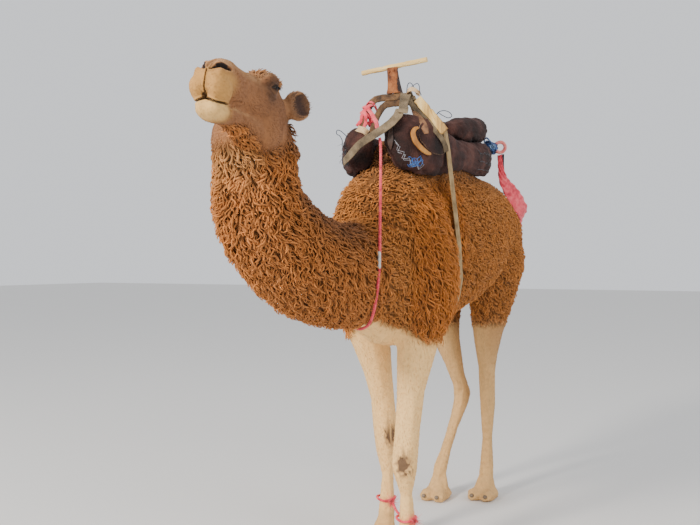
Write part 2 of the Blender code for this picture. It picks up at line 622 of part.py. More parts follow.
def make_pads(camel):
    """The two side pads and the roll round the back of the hump, not yet cut back from what they rest on."""
    pads = []
    for side, word in ((1, "left"), (-1, "right")):
        drops = SAG + [(0.0, 0.0)] * 4 if side < 0 else [(0.0, 0.0)] * 8
        line = spline([(side * x, y, z + down, tall + flat, wide)
                       for (x, y, z, tall, wide), (down, flat) in zip(SIDE_PAD, drops)], 10)
        pads.append(("pad_" + word, line, 2.5, 11))
    pads.append(("pad_rear", spline(REAR_ROLL, 13), 2.2, 9))
    made = []
    for name, line, square, sides in pads:
        rings = []
        last = len(line) - 1
        for i, (x, y, z, tall, wide) in enumerate(line):
            along = Vector(line[min(i + 1, last)][:3]) - Vector(line[max(i - 1, 0)][:3])
            across = Vector((along.y, -along.x, 0)).normalized()
            squeeze = 0.62 if i in (0, last) else 1.0
            rings.append(section((x, y, z), across, (0, 0, 1), wide * squeeze, tall * squeeze, tall * squeeze,
                                 square, sides))
        made.append(loft(name, rings, camel))
    return made


def make_knots(camel, guides, cutters):
    knots = {"knot_front": [(-0.090, -0.012, 2.135, 0.030), (-0.118, -0.018, 2.105, 0.028),
                            (-0.072, -0.034, 2.090, 0.026), (-0.134, -0.024, 2.140, 0.022),
                            (-0.102, -0.050, 2.060, 0.026), (-0.144, -0.054, 2.065, 0.022)],
             "knot_rear": [(0.190, 0.985, 2.070, 0.028), (0.215, 0.975, 2.060, 0.026), (0.172, 0.995, 2.085, 0.022),
                           (0.205, 1.000, 2.040, 0.022)]}
    made = []
    for name, spots in knots.items():
        lumps = [ball("lump", s[:3], (s[3],) * 3, guides, None, 12, 8) for s in spots]
        knot = join(name, lumps, camel)
        modify(knot, "REMESH", mode="VOXEL", voxel_size=0.006)
        made.append(clear_of(thin(knot, 120), cutters))
    return made


def make_tack(pieces, whole, camel, guides):
    tree = make_tree(camel, guides)
    hard = [grown(obj, guides) for obj in tree[2:]]
    clear_of(pieces["hump"], hard[2:4])
    pads = make_pads(camel)
    soft = [grown(pad, guides) for pad in pads]
    # the carved flap at the left of the front is a shell over the pad
    flap = swell(pads[0], 0.012, "flap_left", camel)
    boolean(flap, ball("cutter", (0.26, 0.015, 1.995), (0.14, 0.145, 0.092), guides, None, 14, 8), "INTERSECT")
    clear_of(flap, [soft[0], whole] + hard)
    for k, pad in enumerate(pads):
        clear_of(pad, [whole] + hard + soft[:k])
    tack = tree + pads + [flap]

    # the girth, the breast rope and the hobbles
    torso = [pieces[name] for name in ("trunk", "hump", "neck_lower", "shoulder_left", "shoulder_right")]
    places, outs, normal = girdle(torso + soft + tree[4:6] + [flap], *GIRTH_PLANE, 0.003, GIRTH_WIDTH)
    tack.append(strap("girth_strap", places, outs, [normal] * len(places), GIRTH_WIDTH, STRAP_THICKNESS, camel))
    start, end = BREAST_ENDS
    normal = (BREAST_FRONT - start).cross(end - start)
    places, _, normal = girdle(torso, start, normal, BREAST_ROPE_RADIUS + 0.003, 0.013, BREAST_ENDS)
    breast_rope = rope("breast_rope", long_way(places, start, end), BREAST_ROPE_RADIUS, camel, False, 5, normal)
    clear_of(breast_rope, soft)
    tack.append(breast_rope)
    rings = {}
    for side, word in ((1, "left"), (-1, "right")):
        spot = FORELEGS[word][-1]
        leg = pieces[f"foreleg_{word}_lower"]
        rings[word], _, _ = girdle([leg], (side * spot[0], spot[1], HOBBLE), (0, 0, 1), 0.010, 0.018)
        tack.append(rope("hobble_" + word, rings[word], 0.0075, camel, True, 5))
    start = min(rings["left"], key=lambda p: p.x - 0.6 * p.y)
    end = max(rings["right"], key=lambda p: p.x - 0.6 * p.y)
    link = [start.lerp(end, t) - Vector((0, 0, 0.030 * math.sin(math.pi * t))) for t in np.linspace(0, 1, 7)]
    link = rope("hobble_link", link, 0.006, camel, False, 5)
    tack.append(clear_of(link, [grown(tack[-2], guides), grown(tack[-1], guides)]))

    # the front strap hangs before the pads; the crupper runs over the rump and under the tail
    fixed = [whole] + soft
    hang = [(0.128, -0.160, 2.100), (0.118, -0.195, 2.050), (0.060, -0.220, 2.000), (0.000, -0.234, 1.965),
            (-0.050, -0.230, 1.938), (-0.100, -0.222, 1.895), (-0.145, -0.200, 1.868)]
    places = [Vector(p) for p in spline(hang, 10)]
    outs = [Vector((0.1, -0.85, 0.45)).normalized()] * len(places)
    sides = [(b - a).cross(out).normalized() for a, b, out in zip(places[:1] + places, places[1:] + places[-1:], outs)]
    front = strap("front_strap", places, outs, sides, 0.046, STRAP_THICKNESS, camel, False)
    tack.append(clear_of(front, fixed + [grown(breast_rope, guides)]))
    half = [(0.238, 1.020, 2.020), (0.226, 1.060, 1.945), (0.222, 1.110, 1.875), (0.240, 1.190, 1.810),
            (0.262, 1.270, 1.745), (0.262, 1.360, 1.680), (0.200, 1.440, 1.625), (0.090, 1.510, 1.575),
            (0.0, 1.530, 1.545)]
    guide = half + [(-x, y, z) for x, y, z in half[-2::-1]]
    places, outs, sides = drape(guide, 31, surface([whole]), 0.014)
    crupper = strap("crupper", places, outs, sides, 0.040, 0.006, camel, False)
    tack.append(clear_of(crupper, fixed))
    clear_of(pieces["tail_root"], [swell(crupper, 4 * CUT, "under_tail", guides)])

    # knots, and the ring at the rear corner
    knots = make_knots(camel, guides, fixed + hard + [grown(crupper, guides), grown(front, guides)])
    centre, normal = Vector((0.245, 1.000, 2.062)), Vector((0.45, -0.85, -0.12)).normalized()
    first = normal.cross(Vector((0, 0, 1))).normalized()
    second = normal.cross(first)
    circle = [centre + (first * math.cos(a) + second * math.sin(a)) * 0.029
              for a in np.linspace(0, 2 * math.pi, 14, endpoint=False)]
    ring = rope("ring_rear", circle, 0.010, camel, True, 5, normal)
    tack += knots + [clear_of(ring, [grown(knots[1], guides), grown(crupper, guides)] + fixed)]
    return {obj.name: obj for obj in tack}


# ------------------------------------------------------------------ colours
# By the start of a piece's name: red, green, blue, roughness and metallic. The longest start that fits is used.
COLOURS = {
    "": (0.30, 0.155, 0.062, 0.85, 0.0), "head": (0.24, 0.135, 0.065, 0.80, 0.0),
    "ear": (0.22, 0.12, 0.06, 0.85, 0.0), "eye": (0.012, 0.008, 0.006, 0.08, 0.0),
    "neck": (0.26, 0.135, 0.055, 0.90, 0.0), "forefoot": (0.36, 0.27, 0.18, 0.80, 0.0),
    "hindfoot": (0.36, 0.27, 0.18, 0.80, 0.0), "foreleg": (0.40, 0.28, 0.16, 0.80, 0.0),
    "hindleg": (0.38, 0.25, 0.13, 0.80, 0.0), "toenail": (0.10, 0.085, 0.07, 0.45, 0.0),
    "tail_tuft": (0.10, 0.06, 0.035, 0.90, 0.0), "pad": (0.060, 0.022, 0.016, 0.95, 0.0),
    "handle_bar": (0.70, 0.60, 0.38, 0.70, 0.0), "handle_post": (0.17, 0.075, 0.035, 0.75, 0.6),
    "arch": (0.14, 0.085, 0.050, 0.70, 0.6), "rail": (0.20, 0.12, 0.06, 0.80, 0.0),
    "plank": (0.62, 0.44, 0.20, 0.75, 0.0), "flap": (0.20, 0.105, 0.045, 0.70, 0.0),
    "girth": (0.30, 0.23, 0.12, 0.90, 0.0), "front_strap": (0.24, 0.18, 0.09, 0.90, 0.0),
    "breast_rope": (0.70, 0.16, 0.17, 0.85, 0.0), "hobble": (0.66, 0.20, 0.20, 0.85, 0.0),
    "crupper": (0.75, 0.17, 0.20, 0.85, 0.0), "knot_front": (0.80, 0.20, 0.24, 0.85, 0.0),
    "knot_rear": (0.03, 0.06, 0.16, 0.85, 0.0), "ring": (0.85, 0.33, 0.28, 0.60, 0.0),
}
SHARP = math.radians(40)  # edges bent more than this stay sharp


def dress(obj):
    """Gives a piece its own material and smooth shading."""
    start = max((key for key in COLOURS if obj.name.startswith(key)), key=len)
    red, green, blue, roughness, metallic = COLOURS[start]
    material = bpy.data.materials.new(obj.name + "_material")
    material.use_nodes = True
    shader = material.node_tree.nodes["Principled BSDF"]
    shader.inputs["Base Color"].default_value = (red, green, blue, 1)
    shader.inputs["Roughness"].default_value = roughness
    shader.inputs["Metallic"].default_value = metallic
    obj.data.materials.clear()
    obj.data.materials.append(material)
    for face in obj.data.polygons:
        face.material_index = 0
    obj.data.shade_smooth()
    obj.data.set_sharp_from_angle(angle=SHARP)


def main():
    for obj in list(bpy.data.objects):
        bpy.data.objects.remove(obj)
    camel = bpy.data.collections.new("dromedary_camel")
    guides = bpy.data.collections.new("guides")
    for collection in (camel, guides):
        bpy.context.scene.collection.children.link(collection)
    body, head = make_flesh(camel, guides)
    whole = grown(body, guides)
    pieces = part_flesh(body, head, camel, guides)
    add_small_flesh(pieces, whole, camel, guides)
    pieces.update(make_tack(pieces, whole, camel, guides))
    for cutter in guides.objects:
        cutter.hide_render = True
        cutter.display_type = "WIRE"
    for name, obj in pieces.items():
        obj.name = obj.data.name = name
        dress(obj)
    low = Vector([min(v.co[i] for o in pieces.values() for v in o.data.vertices) for i in range(3)])
    high = Vector([max(v.co[i] for o in pieces.values() for v in o.data.vertices) for i in range(3)])
    shift = Vector((-(low.x + high.x) / 2, -(low.y + high.y) / 2, -low.z))
    for obj in pieces.values():
        obj.data.transform(Matrix.Translation(shift))
    for name, obj in sorted(pieces.items()):
        print(f"{name:26} {triangles(obj)}")
    print("nodes", len(pieces), "triangles", sum(triangles(o) for o in pieces.values()))
    print("moved by", tuple(round(s, 5) for s in shift), "size", tuple(round(s, 4) for s in high - low))


main()
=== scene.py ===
"""A standing, saddled dromedary camel: one skin over the flesh, wool and hair in tufts, and its tack."""

import math

import bmesh
import bpy
import numpy as np
from mathutils import Matrix, Vector
from mathutils.bvhtree import BVHTree
from mathutils.kdtree import KDTree


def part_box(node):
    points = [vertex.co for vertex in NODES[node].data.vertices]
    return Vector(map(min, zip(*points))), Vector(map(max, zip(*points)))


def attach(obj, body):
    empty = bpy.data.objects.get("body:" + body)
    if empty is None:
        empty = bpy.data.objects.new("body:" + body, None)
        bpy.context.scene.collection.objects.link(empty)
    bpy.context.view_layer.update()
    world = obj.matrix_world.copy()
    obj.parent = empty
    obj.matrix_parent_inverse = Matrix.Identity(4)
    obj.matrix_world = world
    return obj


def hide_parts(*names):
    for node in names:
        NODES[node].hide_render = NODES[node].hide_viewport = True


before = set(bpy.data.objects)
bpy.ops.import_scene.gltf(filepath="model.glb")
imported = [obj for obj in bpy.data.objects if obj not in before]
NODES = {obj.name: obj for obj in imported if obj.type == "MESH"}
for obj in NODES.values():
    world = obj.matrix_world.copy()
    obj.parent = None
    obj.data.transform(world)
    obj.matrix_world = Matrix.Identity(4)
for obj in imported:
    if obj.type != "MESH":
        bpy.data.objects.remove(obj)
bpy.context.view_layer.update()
SEED = 11
SIDES = (("left", 1), ("right", -1))

# ---------------------------------------------------------------- named sizes, in metres
SHIFT = Vector((0.0063, 0.0131, 0.0))  # from the source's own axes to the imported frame
VIEW_TURN = math.radians(27)  # the camera looks this far round from the camel's front
CAMERA_AT = Vector((1.642, -3.641, 1.4)) + SHIFT
FOCAL = 42.69  # millimetres, on a 36 mm sensor
MIDDLE = (0, -0.1, 1.2)  # the lamps look here
FLOOR_REACH, FLOOR_DROP = 40, 0.0005
HEAD_POLL = Vector((-0.02, -1.06, 1.956)) + SHIFT
HEAD_YAW, HEAD_PITCH, HEAD_ROLL, HEAD_SCALE = math.radians(13), math.radians(6), math.radians(5), 1.07
EYE_RADIUS = 0.02
TACK_REACH, EYE_REACH = 0.08, 0.04  # the coat keeps clear of the tack and the eyes from this near
VOXEL = 0.006
OVERLAP = 0.0015  # the flesh solids are swollen this much, so that they join
SKIN_FACES = 105000
LOWEST_SKIN, LOWEST_HAIR = 0.0015, 0.0025
ROOT_DEPTH = 0.0015  # how far a lock's root is under the skin

PAIRED = ("ear", "shoulder", "thigh", "foreleg_{}_upper", "foreleg_{}_lower", "hindleg_{}_upper",
          "hindleg_{}_lower", "forefoot", "hindfoot")
SINGLE = ("head", "neck_upper", "neck_lower", "trunk", "hump", "tail_root", "tail_tuft")
FLESH = list(SINGLE)
for part in PAIRED:
    for word, _ in SIDES:
        FLESH.append(part.format(word) if "{}" in part else part + "_" + word)

# Each region of the coat: its depth over the skin, a lock's length, width, spacing, lift, curl and turns, its
# colour, and the way the hair lies before it is laid along the skin; head, crown and ears by the head's axes.
COAT = {
    "head": (0.0025, 0.013, 0.0024, 0.0056, 0.06, 0.0, 0.0, (0.27, 0.115, 0.045), (-1.0, 0.0, -0.25)),
    "ear": (0.002, 0.014, 0.0024, 0.0058, 0.18, 0.0, 0.0, (0.4, 0.2, 0.09), (-0.52, 0.72, 0.4)),
    "crown": (0.007, 0.024, 0.0064, 0.008, 0.4, 0.0035, 0.6, (0.4, 0.18, 0.068), (-1.0, 0.0, 0.0)),
    "neck": (0.02, 0.043, 0.0125, 0.0122, 0.5, 0.0088, 0.8, (0.45, 0.16, 0.036), (0.0, 0.45, -1.0)),
    "shoulder": (0.022, 0.062, 0.0105, 0.0124, 0.44, 0.0078, 0.85, (0.49, 0.165, 0.03), (0.0, 0.3, -1.0)),
    "body": (0.014, 0.032, 0.0105, 0.0125, 0.46, 0.0066, 0.8, (0.47, 0.175, 0.038), (0.0, 0.75, -0.8)),
    "belly": (0.008, 0.024, 0.007, 0.011, 0.34, 0.0028, 0.6, (0.48, 0.26, 0.1), (0.0, 1.0, -0.2)),
    "leg": (0.0035, 0.017, 0.0034, 0.0125, 0.07, 0.0, 0.0, (0.86, 0.54, 0.215), (0.0, 0.12, -1.0)),
    "foot": (0.002, 0.011, 0.0028, 0.0115, 0.08, 0.0, 0.0, (0.64, 0.39, 0.16), (0.0, -0.6, -1.0)),
    "tail": (0.006, 0.04, 0.006, 0.01, 0.3, 0.002, 0.8, (0.38, 0.18, 0.065), (0.0, 0.1, -1.0)),
    "tuft": (0.013, 0.102, 0.006, 0.008, 0.16, 0.004, 1.0, (0.1, 0.055, 0.03), (0.0, 0.02, -1.0)),
}
REGIONS = list(COAT)
LOCKS = np.array([row[:7] for row in COAT.values()])
TONES = np.array([row[7] for row in COAT.values()])
WOOL = ("crown", "neck", "shoulder", "body", "tail", "tuft")
REGION_STARTS = (("head", "head"), ("ear", "ear"), ("neck", "neck"), ("shoulder", "shoulder"),
                 ("forefoot", "foot"), ("hindfoot", "foot"), ("foreleg", "leg"), ("hindleg", "leg"),
                 ("tail_root", "tail"), ("tail_tuft", "tuft"))


def region_of(name):
    """The coat region that a flesh node belongs to."""
    return next((region for start, region in REGION_STARTS if name.startswith(start)), "body")


def weight_of(weights, *names):
    """The summed weights of some regions at each point."""
    return weights[:, [REGIONS.index(name) for name in names]].sum(axis=1)


def head_frame():
    """The head's own axes: X along it to the nose, Y to the camel's left, Z up through the crown."""
    turn = (Matrix.Rotation(HEAD_YAW - math.pi / 2, 4, "Z") @ Matrix.Rotation(-HEAD_PITCH, 4, "Y")
            @ Matrix.Rotation(-HEAD_ROLL, 4, "X"))
    return Matrix.Translation(HEAD_POLL) @ turn @ Matrix.Scale(HEAD_SCALE, 4)


HEAD = head_frame()


# ---------------------------------------------------------------- mesh helpers
def link(obj):
    bpy.context.scene.collection.objects.link(obj)
    return obj


def object_of(name, bm):
    """A smooth object made from a bmesh, which is freed."""
    mesh = bpy.data.meshes.new(name)
    bm.to_mesh(mesh)
    bm.free()
    mesh.shade_smooth()
    return link(bpy.data.objects.new(name, mesh))


def bmesh_of(mesh):
    bm = bmesh.new()
    bm.from_mesh(mesh)
    return bm


def mesh_object(name, verts, faces):
    """A smooth mesh object from points and faces."""
    mesh = bpy.data.meshes.new(name)
    mesh.from_pydata([tuple(v) for v in verts], [], [tuple(f) for f in faces])
    mesh.update()
    mesh.shade_smooth()
    return link(bpy.data.objects.new(name, mesh))


def big_mesh(name, verts, corners, starts):
    """A mesh object from arrays: points, every face's corners in a row, and where each face starts."""
    mesh = bpy.data.meshes.new(name)
    mesh.vertices.add(len(verts))
    mesh.vertices.foreach_set("co", np.ascontiguousarray(verts, np.float32).ravel())
    mesh.loops.add(len(corners))
    mesh.loops.foreach_set("vertex_index", np.ascontiguousarray(corners, np.int32))
    mesh.polygons.add(len(starts))
    mesh.polygons.foreach_set("loop_start", np.ascontiguousarray(starts, np.int32))
    mesh.update(calc_edges=True)
    mesh.shade_smooth()
    return link(bpy.data.objects.new(name, mesh))


def read(rows, name, kind=np.float32, width=3):
    """One property of all the rows of a Blender list, as an array."""
    out = np.empty(len(rows) * width, kind)
    rows.foreach_get(name, out)
    return out.reshape(-1, width)


def points_of(mesh):
    return read(mesh.vertices, "co").astype(np.float64)


def set_points(mesh, points):
    mesh.vertices.foreach_set("co", np.ascontiguousarray(points, np.float32).ravel())
    mesh.update()


def normals_of(mesh):
    return read(mesh.vertex_normals, "vector").astype(np.float64)


def edges_of(mesh):
    return read(mesh.edges, "vertices", np.int32, 2)


def unit(rows):
    return rows / np.maximum(np.linalg.norm(rows, axis=-1, keepdims=True), 1e-9)


def spread(values, edges, rounds, share=1.0):
    """Values at the points, each moved by share towards the mean of its neighbours, round after round."""
    count = len(values)
    a, b = edges[:, 0], edges[:, 1]
    degree = np.maximum(np.bincount(a, minlength=count) + np.bincount(b, minlength=count), 1)
    flat = values.reshape(count, -1).copy()
    for _ in range(rounds):
        for k in range(flat.shape[1]):
            column = flat[:, k]
            mean = (np.bincount(a, column[b], count) + np.bincount(b, column[a], count)) / degree
            flat[:, k] = column + share * (mean - column)
    return flat.reshape(values.shape)


def smooth_form(points, edges, rounds):
    """Points smoothed with hardly any shrinking: each pass in is followed by one out."""
    for _ in range(rounds):
        points = spread(points, edges, 1, 0.5)
        points = spread(points, edges, 1, -0.52)
    return points


def apply_modifiers(obj):
    """Puts the object's modifiers into its mesh, which is smooth."""
    graph = bpy.context.evaluated_depsgraph_get()
    mesh = bpy.data.meshes.new_from_object(obj.evaluated_get(graph))
    mesh.shade_smooth()
    old = obj.data
    obj.modifiers.clear()
    obj.data = mesh
    bpy.data.meshes.remove(old)


def remesh(obj, voxel):
    """Remakes the mesh as one closed skin of even faces."""
    modifier = obj.modifiers.new("remesh", "REMESH")
    modifier.mode = "VOXEL"
    modifier.voxel_size = voxel
    apply_modifiers(obj)


def ramp(value, low, high):
    """0 below low, 1 above high, and a smooth rise between."""
    t = np.clip((value - low) / (high - low), 0, 1)
    return t * t * (3 - 2 * t)


def bell(distance, width):
    return np.exp(-(distance / width) ** 2)


def catmull(points, count):
    """Evenly numbered points, rings or numbers on a smooth curve through the given ones."""
    p = np.array(points, float)
    p = np.concatenate([[2 * p[0] - p[1]], p, [2 * p[-1] - p[-2]]])
    t = np.linspace(0, len(points) - 1, count)
    i = np.minimum(t.astype(int), len(points) - 2)
    u = (t - i).reshape([-1] + [1] * (p.ndim - 1))
    a, b, c, d = p[i], p[i + 1], p[i + 2], p[i + 3]
    square, cube = 2 * a - 5 * b + 4 * c - d, 3 * b - a - 3 * c + d
    return 0.5 * (2 * b + (c - a) * u + square * u ** 2 + cube * u ** 3)


def node_mesh(names):
    """One bmesh of CAD nodes, with their corners joined."""
    bm = bmesh.new()
    for name in names:
        bm.from_mesh(NODES[name].data)
    bmesh.ops.remove_doubles(bm, verts=bm.verts, dist=1e-6)
    return bm


def tree_of(bm):
    """A search tree of a bmesh, which is freed."""
    tree = BVHTree.FromBMesh(bm)
    bm.free()
    return tree


# ---------------------------------------------------------------- camera, floor and light
def aimed(name, data, place, way):
    """A camera or lamp at a place, looking a way."""
    obj = link(bpy.data.objects.new(name, data))
    obj.location = place
    obj.rotation_euler = way.to_track_quat("-Z", "Y").to_euler()
    return obj


def make_camera():
    data = bpy.data.cameras.new("camera")
    data.lens = FOCAL
    data.sensor_width = 36
    data.clip_end = 100
    way = Vector((-math.sin(VIEW_TURN), math.cos(VIEW_TURN), 0))
    bpy.context.scene.camera = aimed("camera", data, CAMERA_AT, way)


def make_light(name, place, size, power, colour):
    data = bpy.data.lights.new(name, "AREA")
    data.shape = "DISK"
    data.size = size
    data.energy = power
    data.color = colour
    aimed(name, data, place, Vector(MIDDLE) - Vector(place))


def make_stage():
    corners = [(x * FLOOR_REACH, y * FLOOR_REACH, 0) for x, y in ((-1, -1), (1, -1), (1, 1), (-1, 1))]
    floor = mesh_object("floor", corners, [(0, 1, 2, 3)])
    floor.location.z = -FLOOR_DROP
    floor.data.materials.append(new_material("floor_paint", (0.72, 0.71, 0.69, 1), 0.9)[0])
    world = bpy.data.worlds.new("world")
    world.use_nodes = True
    sky = world.node_tree.nodes["Background"].inputs
    sky["Color"].default_value = (0.94, 0.96, 1.0, 1)
    sky["Strength"].default_value = 0.98
    bpy.context.scene.world = world
    make_light("key", (-3.0, -9.0, 5.5), 2.2, 1350, (1.0, 0.94, 0.86))
    make_light("side", (8.0, -2.0, 5.0), 5.0, 260, (1.0, 0.98, 0.96))


# ---------------------------------------------------------------- materials
def new_material(name, colour, rough, **values):
    """A material with its shader's sockets set: the material, its tree and the shader's inputs."""
    material = bpy.data.materials.new(name)
    material.use_nodes = True
    tree = material.node_tree
    inputs = tree.nodes["Principled BSDF"].inputs
    for key, value in dict(values, Base_Color=colour, Roughness=rough).items():
        inputs[key.replace("_", " ")].default_value = value
    return material, tree, inputs


def add_node(tree, kind, *firsts, out=0, **values):
    """A node's output; its inputs, in order or by name, are linked or set, and so are its properties."""
    node = tree.nodes.new("ShaderNode" + kind)
    sockets = list(zip(node.inputs, firsts))
    for key, value in values.items():
        if hasattr(node, key):
            setattr(node, key, value)
        else:
            sockets.append((node.inputs[key.replace("_", " ")], value))
    for socket, value in sockets:
        if isinstance(value, bpy.types.NodeSocket):
            tree.links.new(value, socket)
        else:
            socket.default_value = value
    return node.outputs[out]


def fur_material(name, rough, sheen):
    """Colour from the coat's own markings, broken up by fine noise, with a fine bump."""
    material, tree, inputs = new_material(name, (0.5, 0.3, 0.15, 1), rough, Sheen_Weight=sheen,
                                          Sheen_Roughness=0.5, Specular_IOR_Level=0.25)
    place = add_node(tree, "TexCoord", out="Object")
    noise = add_node(tree, "TexNoise", Vector=place, Scale=60.0, Detail=3.0)
    strength = add_node(tree, "MapRange", Value=noise, To_Min=0.8, To_Max=1.2)
    colour = add_node(tree, "Attribute", attribute_name="coat_colour")
    varied = add_node(tree, "VectorMath", colour, operation="SCALE", Scale=strength)
    tree.links.new(varied, inputs["Base Color"])
    fine = add_node(tree, "TexNoise", Vector=place, Scale=420.0, Detail=2.0)
    tree.links.new(add_node(tree, "Bump", Strength=0.5, Distance=0.0018, Height=fine), inputs["Normal"])
    return material


# ---------------------------------------------------------------- the skin
def flesh_shell():
    """The flesh solids, a little swollen so that they join, remeshed to one closed skin."""
    whole = bmesh.new()
    for name in FLESH:
        part = node_mesh([name])
        part.normal_update()
        for v in part.verts:
            v.co += v.normal * OVERLAP
        piece = bpy.data.meshes.new("piece")
        part.to_mesh(piece)
        part.free()
        whole.from_mesh(piece)
        bpy.data.meshes.remove(piece)
    skin = object_of("skin", whole)
    remesh(skin, VOXEL)
    keep_largest(skin.data)
    return skin


def keep_largest(mesh):
    """Drops every loose bit but the biggest, such as walls left inside."""
    edges = edges_of(mesh)
    label = np.arange(len(mesh.vertices))
    while True:
        low = np.minimum(label[edges[:, 0]], label[edges[:, 1]])
        new = label.copy()
        np.minimum.at(new, edges[:, 0], low)
        np.minimum.at(new, edges[:, 1], low)
        new = new[new]
        if (new == label).all():
            break
        label = new
    names, counts = np.unique(label, return_counts=True)
    main = names[counts.argmax()]
    if len(names) > 1:
        bm = bmesh_of(mesh)
        bm.verts.ensure_lookup_table()
        loose = [bm.verts[i] for i in np.nonzero(label != main)[0]]
        bmesh.ops.delete(bm, geom=loose, context="VERTS")
        bm.to_mesh(mesh)
        bm.free()


def flesh_tree():
    """A search tree of every flesh face, and each face's region number."""
    verts, faces, regions = [], [], []
    for name in FLESH:
        bm = node_mesh([name])
        start = len(verts)
        verts += [v.co.copy() for v in bm.verts]
        for f in bm.faces:
            faces.append([start + v.index for v in f.verts])
            regions.append(REGIONS.index(region_of(name)))
        bm.free()
    return BVHTree.FromPolygons(verts, faces), regions


JAW_BORDER = ((-0.1, 0.05), (-0.05, -0.03), (0.0, -0.12), (0.1, -0.165), (0.2, -0.14), (0.27, -0.126),
              (0.33, -0.14), (0.37, -0.19), (0.5, -0.26))


def head_places(points):
    """Points in the head's own axes and scale."""
    turn = np.array(HEAD.to_3x3().normalized())
    return (points - np.array(HEAD_POLL)) @ turn / HEAD_SCALE


def coat_labels(label, points, normals):
    """Moves the coat's borders off the cuts between the solids: jaw, crown, chest and the undersides."""
    label = label.copy()
    number = {name: i for i, name in enumerate(REGIONS)}
    lx, ly, lz = head_places(points).T
    x, y, z = points.T
    on_head = label == number["head"]
    xs, zs = np.array(JAW_BORDER).T
    label[on_head & (lz < np.interp(lx, xs, zs))] = number["neck"]
    label[on_head & (lz > 0.056) & (lx > -0.05) & (lx < 0.235) & (np.abs(ly) < 0.062)] = number["crown"]
    under = (normals[:, 2] < -0.55) & (label == number["body"])
    label[under & (z < 1.1)] = number["belly"]
    wool = np.isin(label, (number["body"], number["shoulder"], number["belly"]))
    label[wool & (y < 0.12) & (y > -0.46) & (z < 1.16) & (np.abs(x - SHIFT.x) < 0.085)] = number["leg"]
    hem = 1.05 + 0.06 * (1 - np.clip((np.abs(x) - 0.1) / 0.12, 0, 1))
    label[wool & (y < 0.18) & (z < hem)] = number["leg"]
    return label


def make_skin():
    """The skin: joined, smoothed, drawn in by the coat's depth, and thinned where nothing fine is needed."""
    skin = flesh_shell()
    mesh = skin.data
    edges = edges_of(mesh)
    points = points_of(mesh)
    tree, face_region = flesh_tree()
    label = np.array([face_region[tree.find_nearest(Vector(p))[2]] for p in points])
    label = coat_labels(label, points, unit(spread(normals_of(mesh), edges, 4)))
    weights = spread(np.eye(len(REGIONS))[label], edges, 14)
    points = smooth_form(points, edges, 10)
    set_points(mesh, points)
    pads = tree_of(node_mesh([n for n in NODES if n.startswith(("pad", "flap"))]))
    near = np.array([(pads.find_nearest(Vector(p), TACK_REACH)[3] or TACK_REACH) for p in points])
    depth = np.minimum(weights @ LOCKS[:, 0], 0.004 + 0.5 * near) + OVERLAP
    depth = spread(depth, edges, 6)
    inward = unit(spread(normals_of(mesh), edges, 6))
    points = points - inward * depth[:, None]
    points = spread(points, edges, 2, 0.5)
    points[:, 2] = np.maximum(points[:, 2], LOWEST_SKIN)
    set_points(mesh, points)
    fine = weight_of(weights, "head", "ear") + 0.6 * weight_of(weights, "foot")
    group = skin.vertex_groups.new(name="coarse")
    coarse = np.clip(1 - fine, 0, 1)
    for k in range(11):
        chosen = np.nonzero(np.round(coarse * 10) == k)[0]
        group.add([int(i) for i in chosen], k / 10, "REPLACE")
    thin = skin.modifiers.new("thin", "DECIMATE")
    thin.ratio = SKIN_FACES / (2 * len(mesh.polygons))
    thin.vertex_group = "coarse"
    apply_modifiers(skin)
    skin.vertex_groups.clear()
    return skin, points, np.hstack([weights, np.zeros((len(weights), 1))])


def part_weights(weights):
    """The region weights alone, without the last column, which is the painted shade in a fold or slit."""
    return weights[:, :len(REGIONS)]


def region_weights(points, old_points, old_weights):
    """Region weights for new points, taken from the nearest points of the finer skin."""
    tree = KDTree(len(old_points))
    for i, p in enumerate(old_points):
        tree.insert(p, i)
    tree.balance()
    return old_weights[np.array([tree.find(p)[1] for p in points])]


def refine(mesh, weights, chosen):
    """Splits the faces whose points are all chosen into finer ones, and gives all points region weights."""
    old = points_of(mesh)
    pick = chosen(old, weights)
    bm = bmesh_of(mesh)
    edges = [e for e in bm.edges if pick[e.verts[0].index] and pick[e.verts[1].index]]
    bmesh.ops.subdivide_edges(bm, edges=edges, cuts=1, use_grid_fill=True)
    bmesh.ops.triangulate(bm, faces=[f for f in bm.faces if len(f.verts) > 4])
    bm.to_mesh(mesh)
    bm.free()
    mesh.update()
    return region_weights(points_of(mesh), old, weights)


# ---------------------------------------------------------------- the head's fine forms, in its own axes
NOSTRIL = [(0.492, 0.009, -0.014), (0.482, 0.022, -0.004), (0.464, 0.038, 0.002), (0.44, 0.05, 0.003)]
NOSE_FOLD = [(0.486, 0.006, -0.006), (0.47, 0.004, 0.012), (0.45, 0.003, 0.024)]
CLEFT = [(0.494, 0.0, -0.018), (0.502, 0.001, -0.038), (0.502, 0.001, -0.058), (0.491, 0.0, -0.078),
         (0.476, 0.0, -0.093)]
MOUTH = [(0.475, 0.0, -0.095), (0.48, 0.016, -0.102), (0.468, 0.034, -0.105), (0.436, 0.045, -0.101),
         (0.4, 0.044, -0.094)]
CHEEK_FOLD = [(0.4, 0.046, -0.092), (0.35, 0.045, -0.078), (0.31, 0.047, -0.066)]
UNDER_EYE = [(0.205, 0.08, 0.004), (0.185, 0.086, -0.008), (0.16, 0.086, -0.008), (0.14, 0.08, 0.002)]
JAW_LINE = [(0.3, 0.048, -0.1), (0.22, 0.055, -0.12), (0.14, 0.058, -0.15)]
NOSTRIL_PIT = [(0.474, 0.028, 0.001), (0.454, 0.041, 0.005)]
LIP_NOTCH = [(0.484, 0.0, -0.088), (0.474, 0.0, -0.098)]
MUZZLE_TIP = (0.49, 0.0, -0.05)
